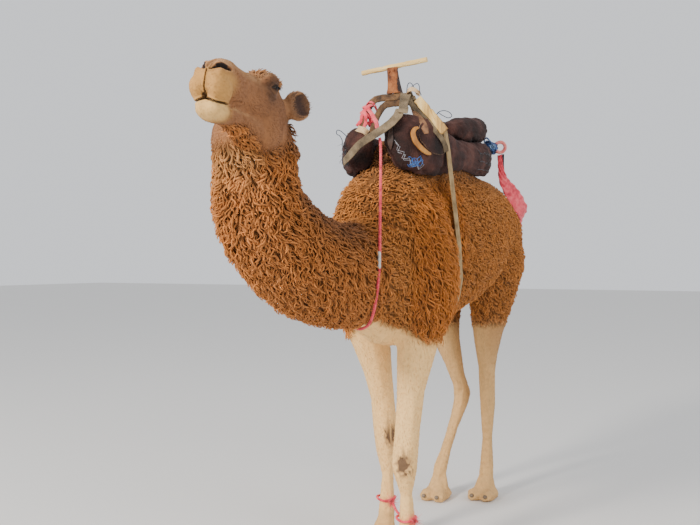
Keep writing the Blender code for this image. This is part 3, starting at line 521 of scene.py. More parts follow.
FACE_FORMS = (  # place on the left side, size and height of each soft form
    ((0.17, 0.07, 0.06), 0.03, 0.006), ((0.33, 0.04, 0.01), 0.05, -0.004),
    ((0.48, 0.024, -0.055), 0.03, 0.004), ((0.47, 0.026, 0.014), 0.016, 0.005),
    ((0.48, 0.036, -0.02), 0.013, 0.007), ((0.468, 0.03, -0.12), 0.022, 0.004),
    ((0.3, 0.05, -0.03), 0.04, -0.004), ((0.24, 0.058, -0.06), 0.03, 0.003),
)
FACE_GROOVES = (  # path, width, depth, rim, painted shade at its bottom and the change of width along it
    (NOSTRIL, 0.007, 0.019, 0.003, 1.0, (0.4, 0.8, 1.25, 0.7)),
    (NOSTRIL_PIT, 0.0085, 0.012, 0.0, 1.0, (0.8, 1.0)),
    (NOSE_FOLD, 0.004, 0.005, 0.001, 0.25, (1.2, 0.8)),
    (MOUTH, 0.0036, 0.011, 0.0024, 0.8, (1.0, 0.8, 0.8, 0.4)),
    (CHEEK_FOLD, 0.006, 0.004, 0.0015, 0.0, (1.0, 0.6)),
    (JAW_LINE, 0.014, 0.004, 0.0, 0.0, (1, 1)),
    (UNDER_EYE, 0.006, 0.003, 0.001, 0.15, (0.6, 1.0, 0.6)),
)
MIDDLE_GROOVES = (
    (CLEFT, 0.003, 0.01, 0.0022, 0.62, (0.6, 0.6, 0.7, 1.1)),
    (LIP_NOTCH, 0.0058, 0.012, 0.0, 0.8, (1, 1)),
)
GROOVE_STEPS = 40
EYE_PLACE = (0.172, 0.079, 0.029)
EYE_LOOK = (0.28, 1.0, 0.08)
LID_LENGTH, LID_UP, LID_DOWN = 0.0185, 0.0085, 0.006
EAR_LENGTH = 0.13
CUP_HEIGHT, CUP_STRETCH, CUP_WIDTH, CUP_DEPTH = 0.062, 1.55, 0.026, 0.034
EAR_ROOT, EAR_WAY, EAR_OPENS = (0.004, 0.07, 0.01), (-0.52, 0.72, 0.4), (0.86, 0.5, -0.12)


def head_point(place, side=1):
    """A point given in the head's axes for the left side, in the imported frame, on the side asked for."""
    return np.array(HEAD @ Vector((place[0], side * place[1], place[2])))


def head_way(way, side=1):
    return np.array((HEAD.to_3x3() @ Vector((way[0], side * way[1], way[2]))).normalized())


def across_to(way, axis):
    """The part of a way that is square to an axis, one long."""
    way = way - axis * (way @ axis)
    return way / np.linalg.norm(way)


def distance_to(points, path):
    """How far each point is from a path of close points, and which path point is nearest."""
    best = np.full(len(points), 9.0)
    where = np.zeros(len(points), int)
    for i, q in enumerate(path):
        gap = np.linalg.norm(points - q, axis=1)
        closer = gap < best
        best[closer] = gap[closer]
        where[closer] = i
    return best, where


def carve(points, normals, dark, place, side, width, depth, rim, groove_shade, widths):
    """Sinks a groove along a path in the head's axes, with a low rim beside it, and paints shade along its
    bottom.
    """
    path = np.array([head_point(p, side) for p in catmull(place, GROOVE_STEPS)])
    path = np.array([points[np.argmin(((points - p) ** 2).sum(axis=1))] for p in path])
    path[1:-1] = (path[:-2] + 2 * path[1:-1] + path[2:]) / 4
    gap, where = distance_to(points, path)
    t = where / (GROOVE_STEPS - 1)
    wide = width * np.interp(t, np.linspace(0, 1, len(widths)), widths)
    sink = depth * bell(gap, wide) - rim * bell(gap - 2.1 * wide, wide)
    dark = np.maximum(dark, groove_shade * ramp(-gap / wide, -1.75, -1.15))
    return points - normals * sink[:, None], dark


def bulge(points, normals, place, side, size, height):
    gap = np.linalg.norm(points - head_point(place, side), axis=1)
    return points + normals * (height * bell(gap, size))[:, None]


def eye_axes(side):
    """The eye's centre, and the ways out of the head, towards the nose and up."""
    out = head_way(EYE_LOOK, side)
    ahead = across_to(head_way((1.0, 0.0, -0.1), side), out)
    up = np.cross(out, ahead)
    return head_point(EYE_PLACE, side), out, ahead, -up if up[2] < 0 else up


def on_ball(along, high, eye, lift):
    """The spot at given arc lengths along and above the middle of the eye, lifted off its ball."""
    centre, out, ahead, up = eye
    arc = max(math.hypot(along, high), 1e-6)
    turn = arc / EYE_RADIUS
    way = out * math.cos(turn) + (ahead * along + up * high) / arc * math.sin(turn)
    return centre + way * (EYE_RADIUS + lift)


def lid_gap(along, high):
    """How far a spot on the eye is outside the opening between the lids; below zero it is inside."""
    bend = np.clip(1 - (along / LID_LENGTH) ** 2, 0, 1)
    beyond = np.maximum(np.abs(along) - LID_LENGTH, 0)
    past = np.maximum(high - LID_UP * bend, -LID_DOWN * bend - high)
    return np.hypot(np.maximum(past, -0.01), beyond) * np.where((past > 0) | (beyond > 0), 1, -1)


LID_RISE = ((0.0, 0.002, 0.006, 0.01, 0.016), (-0.0015, 0.0004, 0.0022, 0.0034, 0.0042))  # by the gap


def sculpt_eye(points, side):
    """Skin that rises round the eyeball and leaves an almond opening in front of it."""
    centre, out, ahead, up = eye_axes(side)
    from_eye = points - centre
    reach = np.linalg.norm(from_eye, axis=1)
    near = (reach < 0.05) & ((from_eye @ out) > -0.002)
    way = unit(from_eye)
    turn = np.arccos(np.clip(way @ out, -1, 1))
    flat = turn * EYE_RADIUS / np.maximum(np.sin(turn), 1e-6)
    gap = lid_gap(way @ ahead * flat, way @ up * flat)
    lid = EYE_RADIUS + np.interp(gap, *LID_RISE)
    far = ramp(reach, EYE_RADIUS + 0.004, EYE_RADIUS + 0.02) * ramp(gap, 0.002, 0.012)
    target = np.where(gap < 0, EYE_RADIUS - 0.004, np.maximum(reach * far, lid * (1 - far) + reach * far))
    points = points.copy()
    points[near] = centre + way[near] * target[near, None]
    return points


def sculpt_ear(points, side):
    """Hollows the ear's front into a cup."""
    along = head_way(EAR_WAY, side)
    open_way = across_to(head_way(EAR_OPENS, side), along)
    v = points - head_point(EAR_ROOT, side)
    a, o, c = v @ along, v @ open_way, v @ np.cross(along, open_way)
    inside = bell(np.hypot((a - CUP_HEIGHT) / CUP_STRETCH, c), CUP_WIDTH) * ramp(o, -0.006, 0.012)
    inside = inside * (a > -0.01) * (a < EAR_LENGTH)
    return points - open_way * (CUP_DEPTH * inside)[:, None]


def sculpt_head(mesh, weights):
    """Nostrils, split lip, mouth, brows, lids, ears and the soft folds between them."""
    def face(points, w):
        local_x = np.array([(HEAD.inverted() @ Vector(p)).x for p in points])
        eyes = np.min([np.linalg.norm(points - eye_axes(s)[0], axis=1) for _, s in SIDES], axis=0)
        fine = (local_x > 0.33) | (eyes < 0.075)
        return ((weight_of(w, "head") > 0.5) & fine) | (weight_of(w, "ear") > 0.4)

    def finest(points, _):
        near = np.linalg.norm(points - head_point(MUZZLE_TIP), axis=1) < 0.066
        for _, side in SIDES:
            centre, out = eye_axes(side)[:2]
            near |= (np.linalg.norm(points - centre, axis=1) < 0.036) & ((points - centre) @ out > -0.004)
        return near

    for chosen, rounds in ((face, 4), (finest, 3)):  # the second smoothing stays out of the mesh
        weights = refine(mesh, weights, chosen)
        edges = edges_of(mesh)
        points = points_of(mesh)
        amount = np.clip(weight_of(weights, "head", "ear"), 0, 1)[:, None]
        smoothed = points + (smooth_form(points, edges, rounds) - points) * amount
        if chosen is face:
            set_points(mesh, smoothed)
    points = smoothed
    normals = unit(spread(normals_of(mesh), edges, 3))
    # painted shade: how dark each groove's bottom is painted, where shade falls in it
    dark = np.zeros(len(points))
    for _, side in SIDES:
        for place, size, height in FACE_FORMS:
            points = bulge(points, normals, place, side, size, height)
    normals = unit(spread(normals, edges, 2))
    for _, side in SIDES:
        for path, *groove in FACE_GROOVES:
            points, dark = carve(points, normals, dark, path, side, *groove)
    for path, *groove in MIDDLE_GROOVES:
        points, dark = carve(points, normals, dark, path, 1, *groove)
    weights[:, -1] = dark
    for _, side in SIDES:
        points = sculpt_ear(sculpt_eye(points, side), side)
    set_points(mesh, points)
    return weights


# ---------------------------------------------------------------- markings, shared by the skin and the coat
def blend(colours, other, amount):
    return colours + (np.array(other) - colours) * np.clip(amount, 0, 1)[:, None]


KNEE_PADS = ((0.146, 0.476), (-0.046, 0.536))  # place across and height of each knee's bare pad
KNEE_BACK = 0.4  # no point behind this belongs to a fore knee
KNEE_SWELL, KNEE_WIDTH = 0.008, 0.075


def callus(points, normals):
    """How far into the bare kneeling pad a point on the front of a knee is, from 0 to 1."""
    best = np.zeros(len(points))
    for cx, cz in KNEE_PADS:
        gap = np.hypot(points[:, 0] - cx, 0.58 * (points[:, 2] - cz))
        best = np.maximum(best, bell(gap * (1 + 0.3 * noise_turns(points, 0.025, 21)), 0.03))
    return best * ramp(-normals[:, 1], -0.05, 0.35) * (points[:, 1] < KNEE_BACK)


def sculpt_knees(mesh, weights):
    """Swells each fore knee and roughens the rim of its bare pad."""
    def by_knee(points, reach):
        gaps = [np.hypot(points[:, 0] - cx, points[:, 2] - cz) for cx, cz in KNEE_PADS]
        return (np.min(gaps, axis=0) < reach) & (points[:, 1] < KNEE_BACK)

    for reach in (0.065, 0.06, 0.05):
        weights = refine(mesh, weights, lambda points, _: by_knee(points, reach))
    edges = edges_of(mesh)
    points = points_of(mesh)
    near = by_knee(points, 0.065)
    points[near] = smooth_form(points, edges, 4)[near]
    normals = unit(spread(normals_of(mesh), edges, 6))
    for cx, cz in KNEE_PADS:
        near = (np.abs(points[:, 0] - cx) < 0.03) & (np.abs(points[:, 2] - cz) < 0.02)
        near &= points[:, 1] < KNEE_BACK
        front = points[near][np.argmin(points[near][:, 1])]
        gap = np.linalg.norm((points - front) * np.array((1, 1, 0.75)), axis=1)
        points = points + normals * (KNEE_SWELL * bell(gap, KNEE_WIDTH))[:, None]
    pad = callus(points, normals)
    rough = 0.0028 * bell(pad - 0.42, 0.16) * (pad > 0.05) - 0.0012 * ramp(pad, 0.6, 0.8)
    set_points(mesh, points + normals * (rough * (1 + 0.8 * noise_turns(points, 0.012, 22)))[:, None])
    return weights


def markings(points, normals, weights):
    """The coat's colours at the points: brown wool, a dark nape and crown, pale muzzle, throat and legs, with
    painted light and shade: a painted highlight on the neck front, painted light on the head top and throat,
    and painted shade on the nape, the face behind the muzzle, round the eyes and in the grooves.
    """
    w = dict(zip(REGIONS, weights.T))
    head, neck, body, leg = w["head"], w["neck"], w["body"], w["leg"]
    x, y, z = points.T
    lx, _, lz = head_places(points).T
    # how far each point faces up the head, for the painted light on its top
    top = normals @ head_way((0, 0, 1))
    hind = leg * ramp(y, 0.6, 0.9)
    outer = ramp(np.abs(x - SHIFT.x), 0.1, 0.2) * 0.5 + ramp(normals[:, 1], -0.2, 0.6) * 0.4
    knee = callus(points, normals)
    # the throat under the jaw: partly paler hair, partly painted highlight on its front
    throat = (head + neck) * ramp(lx, 0.26, 0.34) * ramp(-lz, 0.12, 0.16) * ramp(-z, -1.86, -1.8)
    layers = [
        # the nape, facing back and up: partly darker hair, partly painted shade
        ((0.15, 0.06, 0.024), neck * ramp(normals @ np.array([0.0, 0.8, 0.6]), -0.1, 0.55) * 0.8),
        ((0.2, 0.095, 0.042), body * ramp(z, 1.72, 1.92) * 0.7),
        # painted highlight: the forward-facing upper neck front is made paler, as if lit from ahead
        ((0.56, 0.3, 0.11), neck * ramp(-normals[:, 1], 0.3, 0.95) * ramp(z, 1.62, 1.84) * 0.6),
        ((0.5, 0.32, 0.17), body * ramp(-z, -1.12, -0.98) * 0.6),
        ((0.56, 0.33, 0.135), hind * 0.75),
        ((0.3, 0.125, 0.04), hind * ramp(z, 0.6, 0.98) * np.clip(outer, 0, 0.85)),
        ((0.42, 0.24, 0.105), ramp(knee, 0.2, 0.4) * 0.8),
        ((0.11, 0.062, 0.036), ramp(knee, 0.5, 0.66) * 0.9),
        # the head's upward-facing top: partly its own orange-brown, partly painted light from above
        ((0.44, 0.225, 0.09), head * ramp(top, 0.2, 0.8) * 0.9),
        ((0.6, 0.35, 0.13), throat * 0.7),
        # the face behind the muzzle: partly its own darker brown, partly painted shade
        ((0.15, 0.062, 0.026), head * ramp(-lx, -0.33, -0.12) * ramp(lz, -0.12, 0.01) * 0.55),
        ((0.48, 0.245, 0.068), head * ramp(lx, 0.36, 0.44) * ramp(-lz, -0.01, 0.03)),
        ((0.7, 0.44, 0.16), head * ramp(lx, 0.4, 0.45) * ramp(-lz, 0.098, 0.108) * 0.8),
    ]
    face = head + w["ear"]
    # dark round each eye: partly its own dark skin, partly painted shade in the socket
    for _, side in SIDES:
        gap = np.linalg.norm(points - head_point(EYE_PLACE, side), axis=1)
        layers.append(((0.07, 0.036, 0.022), face * bell(gap, 0.05) * 0.75))
        layers.append(((0.03, 0.017, 0.012), face * bell(gap, 0.027)))
    for _, side in SIDES:
        from_root = points - head_point(EAR_ROOT, side)
        cup = w["ear"] * ramp(normals @ head_way(EAR_OPENS, side), 0.25, 0.8)
        cup = cup * bell(from_root @ head_way(EAR_WAY, side) - 0.06, 0.045)
        layers.append(((0.06, 0.034, 0.026), cup * (np.linalg.norm(from_root, axis=1) < 0.16)))
    # painted shade in the nostrils, mouth, cleft and folds
    layers.append(((0.014, 0.008, 0.006), weights[:, -1]))
    colours = part_weights(weights) @ TONES
    for tone, amount in layers:
        colours = blend(colours, tone, amount)
    return colours


def set_colour(mesh, colours):
    layer = mesh.color_attributes.new("coat_colour", "FLOAT_COLOR", "POINT")
    solid = np.hstack([colours, np.ones((len(colours), 1))])
    layer.data.foreach_set("color", solid.astype(np.float32).ravel())


# ---------------------------------------------------------------- the coat
TRIES = 2.6  # spots tried for each root that is kept, one for each cell of a grid
BASE_GAP, CELLS = 0.006, 4096  # the grid's finest step, and the most cells along a side
TUFTS = (("wool", 5, 6800), ("hair", 2, 21000))  # rings along a lock, and the most locks in a piece
PATCH = 0.003  # each tuft's share of the unwrap
MOST_LIFT = 0.2  # the limit of a lock that has nothing near it
COAT_DEPTHS = (0.003, 0.013)  # short hair and deep wool: tufts vary more, and their roots get painted shade in the wool
CHART = {  # where each part of the skin lies on the unwrap: left, bottom, width, height
    "body": (0.01, 0.01, 0.6, 0.58),
    "neck": (0.01, 0.61, 0.36, 0.38),
    "head": (0.39, 0.61, 0.36, 0.38),
    "fore": (0.63, 0.01, 0.17, 0.58),
    "hind": (0.82, 0.01, 0.17, 0.58),
    "tail": (0.77, 0.61, 0.22, 0.38),
}
NECK_STEPS = 60
NECK_LINE = [(-0.02, -1.06, 1.95), (-0.04, -1.02, 1.6), (-0.02, -0.85, 1.35), (0.0, -0.45, 1.4)]


def around(points, centre, a, b):
    """The turn of each point about a line through centre, from way a to way b, from 0 to 1."""
    v = points - centre
    return np.arctan2(v @ np.array(b), v @ np.array(a)) / (2 * np.pi) + 0.5


def unwrap(points, weights):
    """Each point's place on an unwrap of the skin: every part of it opened out round its own length."""
    x, y, z = points.T
    kind = np.argmax(part_weights(weights), axis=1)
    uv = np.zeros((len(points), 2))

    def place(chosen, chart, u, v):
        left, bottom, width, height = CHART[chart]
        uv[chosen, 0] = left + width * np.clip(u[chosen], 0, 1)
        uv[chosen, 1] = bottom + height * np.clip(v[chosen], 0, 1)

    names = np.array(REGIONS)[kind]
    body = np.isin(names, ("body", "shoulder", "belly"))
    place(body, "body", (y + 0.45) / 2.05, around(points, np.array([0, 0, 1.5]), (0, 0, -1), (1, 0, 0)))
    line = catmull(NECK_LINE, NECK_STEPS)
    _, where = distance_to(points, line)
    v = points - line[where]
    turn = np.arctan2(v[:, 0], -v[:, 1] - 0.5 * v[:, 2]) / (2 * np.pi) + 0.5
    place((names == "neck") | ((names == "belly") & (y < -0.44)), "neck", turn, where / (NECK_STEPS - 1))
    local = head_places(points) * HEAD_SCALE
    turn = np.arctan2(local[:, 1], local[:, 2] + 0.04) / (2 * np.pi) + 0.5
    place(np.isin(names, ("head", "ear", "crown")), "head", turn, (local[:, 0] + 0.12) / 0.7)
    leg = np.isin(names, ("leg", "foot"))
    legs = (("fore", leg & (y < 0.6), (-0.09, 0.12)), ("hind", leg & (y >= 0.6), (1.12, 1.03)))
    for chart, chosen, ends in legs:
        for left, (_, side) in enumerate(SIDES):
            mine = chosen & ((x * side) > 0)
            middle = np.stack([np.full(len(x), 0.1 * side), np.full(len(x), ends[left]), z], axis=1)
            turn = around(points - middle, np.zeros(3), (0, -1, 0), (1, 0, 0))
            place(mine, chart, (turn + left) / 2, z / 1.25)
    turn = around(points, np.array([0.0, 1.54, 1.4]), (0, -1, 0), (1, 0, 0))
    place(np.isin(names, ("tail", "tuft")), "tail", turn, (z - 1.0) / 0.7)
    return uv


def scatter(mesh, weights, rng):
    """Roots over the skin, spaced for each region: places, normals and region weights."""
    mesh.calc_loop_triangles()
    tris = read(mesh.loop_triangles, "vertices", np.int32)
    points, normals = points_of(mesh), normals_of(mesh)
    a, b, c = (points[tris[:, k]] for k in range(3))
    area = np.linalg.norm(np.cross(b - a, c - a), axis=1) / 2
    gap = (part_weights(weights) @ LOCKS[:, 3])[tris].mean(axis=1)
    chance = area / gap ** 2
    count = int(chance.sum() * TRIES)
    pick = rng.choice(len(tris), count, p=chance / chance.sum())
    u, v = rng.random(count), rng.random(count)
    fold = u + v > 1
    u[fold], v[fold] = 1 - u[fold], 1 - v[fold]
    part = np.stack([1 - u - v, u, v], axis=1)[:, :, None]
    corner = tris[pick]
    places = (points[corner] * part).sum(axis=1)
    ways = unit((normals[corner] * part).sum(axis=1))
    mixed = (weights[corner] * part).sum(axis=1)
    step = gap[pick]
    level = np.round(np.log(step / BASE_GAP) * 6).astype(int)
    cell = BASE_GAP * np.exp(level / 6) * 0.98
    key = np.floor(places / cell[:, None] + 0.37).astype(np.int64) + CELLS // 2
    code = (((level + 40) * CELLS + key[:, 0]) * CELLS + key[:, 1]) * CELLS + key[:, 2]
    _, first = np.unique(code, return_index=True)
    first.sort()
    return places[first], ways[first], mixed[first]


def lie_ways(normals, weights, points):
    """The way the hair lies at each root, along the skin."""
    way = np.zeros_like(points)
    on_left = (head_places(points)[:, 1] > 0)[:, None]
    for i, (name, row) in enumerate(COAT.items()):
        lie = row[8]
        if name == "ear":
            base = np.where(on_left, head_way(lie, 1), head_way(lie, -1))
        else:
            base = head_way(lie) if name in ("head", "crown") else unit(np.array(lie))
        way += weights[:, i:i + 1] * base
    way -= normals * (way * normals).sum(axis=1, keepdims=True)
    return unit(way)


def noise_turns(points, scale, seed):
    """A smooth, repeatable wave field between -1 and 1."""
    rng = np.random.default_rng(seed)
    total = np.zeros(len(points))
    for _ in range(5):
        way = rng.normal(size=3)
        way *= 2 * np.pi / scale / np.linalg.norm(way) * rng.uniform(0.7, 1.4)
        total += np.sin(points @ way + rng.uniform(0, 2 * np.pi))
    return total / 3.0


def lock_faces(rings):
    """The triangles of one three-sided lock, and their corners' places on its patch of the unwrap."""
    faces, tile = [], []
    for k in range(rings - 1):
        for j in range(3):
            a, b = 3 * k + j, 3 * k + (j + 1) % 3
            faces += [(a, b, b + 3), (a, b + 3, a + 3)]
            tile += [((j, k), (j + 1, k), (j + 1, k + 1)), ((j, k), (j + 1, k + 1), (j, k + 1))]
    last = 3 * (rings - 1)
    for j in range(3):
        faces.append((last + j, last + (j + 1) % 3, 3 * rings))
        tile.append(((j, rings - 1), (j + 1, rings - 1), (j + 0.5, rings)))
    return np.array(faces), np.array(tile, float) / np.array([3.0, rings]) - 0.5


def make_tufts(name, roots, normals, weights, limit, rings, rng):
    """One joined mesh of three-sided, tapered locks that leave their roots and lie along the skin."""
    count = len(roots)
    table = part_weights(weights) @ LOCKS
    _, length, width, _, lift, curl, turns = table.T
    length = np.minimum(length * rng.uniform(0.75, 1.25, count), limit)
    size = np.clip(length / (table[:, 1] + 1e-9), 0.3, 1.3)
    width = width * rng.uniform(0.75, 1.25, count) * (0.5 + 0.5 * size)
    curl = curl * size
    lie = lie_ways(normals, weights, roots)
    side = np.cross(normals, lie)
    clump = roots + 0.012 * np.stack([noise_turns(roots, 0.07, seed) for seed in (1, 2, 3)], 1)
    yaw = 0.75 * noise_turns(clump, 0.06, 5) * np.clip(curl / 0.004, 0.15, 1) + rng.normal(0, 0.22, count)
    lie, side = (lie * np.cos(yaw)[:, None] + side * np.sin(yaw)[:, None],
                 side * np.cos(yaw)[:, None] - lie * np.sin(yaw)[:, None])
    phase = 2 * np.pi * (noise_turns(clump, 0.045, 7) + rng.normal(0, 0.09, count))
    spin = np.where(noise_turns(clump, 0.11, 9) > 0, 1, -1)
    steps = np.linspace(0, 1, rings + 1)
    centres, radii = [], []
    for s in steps:
        height = length * lift * s * (1 - 0.45 * s)
        angle = phase + spin * 2 * np.pi * turns * s
        grow = min(1.0, 2.2 * s)
        swing = curl * grow
        centres.append(roots + lie * (length * s)[:, None]
                       + normals * (height + 0.6 * swing * (1 + np.sin(angle)))[:, None]
                       + side * (swing * (np.cos(angle) - np.cos(phase) * (1 - grow)))[:, None])
        radii.append(width / 2 * (0.7 + 0.3 * math.sin(math.pi * min(1, 0.25 + s))) * (1 - 0.55 * s ** 2))
    centres[0] = roots - normals * ROOT_DEPTH
    for place in centres:
        place[:, 2] = np.maximum(place[:, 2], LOWEST_HAIR)
    verts = np.zeros((count, 3 * rings + 1, 3))
    tone = np.zeros((count, 3 * rings + 1))
    for k in range(rings):
        tangent = unit(centres[k + 1] - centres[max(k - 1, 0)])
        over = unit(np.cross(tangent, side))
        wide = np.cross(over, tangent)
        for j in range(3):
            turn = 2 * math.pi * j / 3 + math.pi / 2
            verts[:, 3 * k + j] = (centres[k] + wide * (radii[k] * math.cos(turn))[:, None]
                                   + over * (radii[k] * 0.65 * math.sin(turn))[:, None])
            tone[:, 3 * k + j] = steps[k]
    verts[:, -1] = centres[rings]
    tone[:, -1] = 1
    faces, tile = lock_faces(rings)
    corners = (faces[None] + (np.arange(count) * (3 * rings + 1))[:, None, None]).reshape(-1)
    uv = unwrap(roots, weights)[:, None, None, :] + tile[None] * PATCH
    thick = table[:, :1]
    vary = rng.normal(1.0, np.interp(thick, COAT_DEPTHS, (0.07, 0.15)))
    vary = vary * (1 + 0.12 * noise_turns(clump, 0.05, 13))[:, None]
    # painted shade: each lock darkens towards its root, more in deep wool, where shade falls; tips lighter
    low, high = np.interp(thick, COAT_DEPTHS, (0.98, 0.34)), np.interp(thick, COAT_DEPTHS, (1.08, 1.16))
    shade = low + (high - low) * np.clip(tone * 1.25, 0, 1)
    colours = (markings(roots, normals, weights) * vary)[:, None, :] * shade[:, :, None]
    obj = big_mesh(name, verts.reshape(-1, 3), corners, np.arange(0, len(corners), 3))
    set_colour(obj.data, np.clip(colours.reshape(-1, 3), 0, 1))
    layer = obj.data.uv_layers.new(name="OFBake")
    layer.data.foreach_set("uv", uv.astype(np.float32).ravel())
    return obj


def make_coat(skin, weights):
    """All the coat's pieces, wool and short hair, kept clear of the tack."""
    rng = np.random.default_rng(SEED)
    roots, normals, mixed = scatter(skin.data, weights, rng)
    tack = tree_of(node_mesh([n for n in NODES if n not in FLESH and not n.startswith("eye")]))
    eyes = tree_of(node_mesh([n for n in NODES if n.startswith(("eye", "toenail"))]))
    limit = np.empty(len(roots))
    for i, root in enumerate(roots):
        place = Vector(root)
        d_tack = tack.find_nearest(place, TACK_REACH)[3]
        d_eye = eyes.find_nearest(place, EYE_REACH)[3]
        limit[i] = min(MOST_LIFT if d_tack is None else 0.9 * d_tack + 0.006,
                       MOST_LIFT if d_eye is None else 0.9 * d_eye - 0.002)
    short_face = np.interp(head_places(roots)[:, 0], (0.3, 0.42), (MOST_LIFT, 0.0075))
    limit = np.where(weight_of(mixed, "head") > 0.5, np.minimum(limit, short_face), limit)
    limit *= np.clip(1.2 - 2.5 * mixed[:, -1], 0.3, 1)
    keep = (limit > 0.004) & (mixed[:, -1] < 0.25) & (callus(roots, normals) < 0.35)
    kept = [rows[keep] for rows in (roots, normals, mixed, limit)]
    short = weight_of(kept[2], "head", "ear", "leg", "foot") > 0.62
    for kind, rings, most in TUFTS:
        index = np.nonzero(short if kind == "hair" else ~short)[0]
        index = index[np.argsort(kept[0][index, 1], kind="stable")]
        for part, rows in enumerate(np.array_split(index, max(1, math.ceil(len(index) / most)))):
            chosen_rows = [values[rows] for values in kept]
            piece = make_tufts("coat_%s_%d" % (kind, part + 1), *chosen_rows, rings, rng)
            finish(piece, "camel_fur", "body_wool")


# ---------------------------------------------------------------- building blocks for the tack
def circle(count):
    """The turns of a closed ring of points, without the last that meets the first."""
    return np.linspace(0, 2 * math.pi, count + 1)[:-1]


def frames_along(path, up=None):
    """Two crossways at each point of a path, which turn as little as possible or are kept to the way up."""
    p = np.array(path, float)
    tangent = unit(np.gradient(p, axis=0))
    first, second = np.zeros_like(p), np.zeros_like(p)
    for i, t in enumerate(tangent):
        if up is not None:
            near = np.array(up[i] if np.ndim(up) == 2 else up, float)
        elif i:
            near = first[i - 1]
        else:
            near = np.eye(3)[np.argmin(np.abs(t))]
        near = near - t * (near @ t)
        first[i] = near / max(np.linalg.norm(near), 1e-9)
        second[i] = np.cross(t, first[i])
    return first, second


def loft(name, rings, closed=False):
    """A closed skin through rings of points, capped at both ends unless it runs round."""
    rings = np.array(rings)
    count, around_count = rings.shape[:2]
    verts = rings.reshape(-1, 3)
    faces = []
    for i in range(count if closed else count - 1):
        a, b = i * around_count, ((i + 1) % count) * around_count
        for j in range(around_count):
            k = (j + 1) % around_count
            faces.append((a + j, a + k, b + k, b + j))
    if not closed:
        faces.append(tuple(range(around_count - 1, -1, -1)))
        faces.append(tuple((count - 1) * around_count + j for j in range(around_count)))
    return mesh_object(name, verts, faces)


def tube(name, path, radius, sides, taper=None, closed=False):
    """A round tube along a path; taper gives each point's share of the radius."""
    first, second = frames_along(path)
    turns = circle(sides)
    rings = []
    for i, p in enumerate(np.array(path, float)):
        size = radius * (1 if taper is None else taper[i])
        rings.append(p + size * (np.cos(turns)[:, None] * first[i] + np.sin(turns)[:, None] * second[i]))
    return loft(name, rings, closed)


def join(name, pieces):
    """One object from several."""
    bm = bmesh.new()
    for piece in pieces:
        bm.from_mesh(piece.data)
        old = piece.data
        bpy.data.objects.remove(piece)
        bpy.data.meshes.remove(old)
    return object_of(name, bm)


STRANDS = 3


def twisted(name, path, radius, pitch, sides=7):
    """A laid rope: strands wound round a path."""
    path = np.array(path, float)
    length = np.linalg.norm(np.diff(path, axis=0), axis=1).sum()
    fine = catmull(path, int(length / pitch * 10))
    first, second = frames_along(fine)
    gone = np.concatenate([[0], np.cumsum(np.linalg.norm(np.diff(fine, axis=0), axis=1))])
    turns = round(length / pitch)
    pieces = []
    for k in range(STRANDS):
        angle = 2 * np.pi * (gone / length * turns + k / STRANDS)
        line = fine + radius * 0.52 * (np.cos(angle)[:, None] * first + np.sin(angle)[:, None] * second)
        pieces.append(tube("strand", line, radius * 0.5, sides))
    return join(name, pieces)


def ribbon(name, path, up, width, thickness, count=60, across=9, cup=0.0, frill=0.0, waves=6.0):
    """A strap along a path, with a thick rolled edge; it may be cupped or frilled across its width."""
    line = catmull(path, count)
    ways = catmull(up, count) if np.ndim(up) == 2 else np.tile(np.array(up, float), (count, 1))
    out, side = frames_along(line, ways)
    widths = catmull(width, count) if np.ndim(width) else np.full(count, width)
    t = np.linspace(-1, 1, across)
    edge = thickness / 2 * (1 + 0.25 * ramp(np.abs(t), 0.78, 0.9))
    rings = []
    for i in range(count):
        lift = cup * (t ** 2) + frill * np.sin(t * waves + 0.55 * i) * (0.3 + 0.7 * np.abs(t))
        middle = line[i] + np.outer(t * widths[i] / 2, side[i]) + np.outer(lift, out[i])
        skin_half = np.outer(edge, out[i])
        rings.append(np.vstack([middle + skin_half, (middle - skin_half)[::-1]]))
    return loft(name, rings)


def remade(name, nodes, voxel, rounds):
    """A finely meshed, softly rounded copy of CAD nodes."""
    obj = object_of(name, node_mesh(nodes))
    remesh(obj, voxel)
    set_points(obj.data, smooth_form(points_of(obj.data), edges_of(obj.data), rounds))
    return obj


def push(obj, amount):
    """Moves each point along its normal."""
    set_points(obj.data, points_of(obj.data) + unit(normals_of(obj.data)) * amount[:, None])


def uneven(obj, height, scale, seed, stretch=(1, 1, 1)):
    """Uneven ground on a piece: lumps of a height and a size, drawn out by the stretch."""
    push(obj, height * noise_turns(points_of(obj.data) * np.array(stretch), scale, seed))


def softened(name, node, width):
    """A copy of a CAD node with its edges rounded, for straps and boards."""
    obj = object_of(name, node_mesh([node]))
    bevel = obj.modifiers.new("bevel", "BEVEL")
    bevel.width = width
    bevel.segments = 3
    bevel.limit_method = "ANGLE"
    bevel.angle_limit = math.radians(35)
    apply_modifiers(obj)
    return obj


def on_surface(tree, places, lift):
    """The places moved to the nearest spots of a surface, and lifted off it."""
    spots = [tree.find_nearest(Vector(place)) for place in places]
    return [spot + normal * lift for spot, normal, *_ in spots]


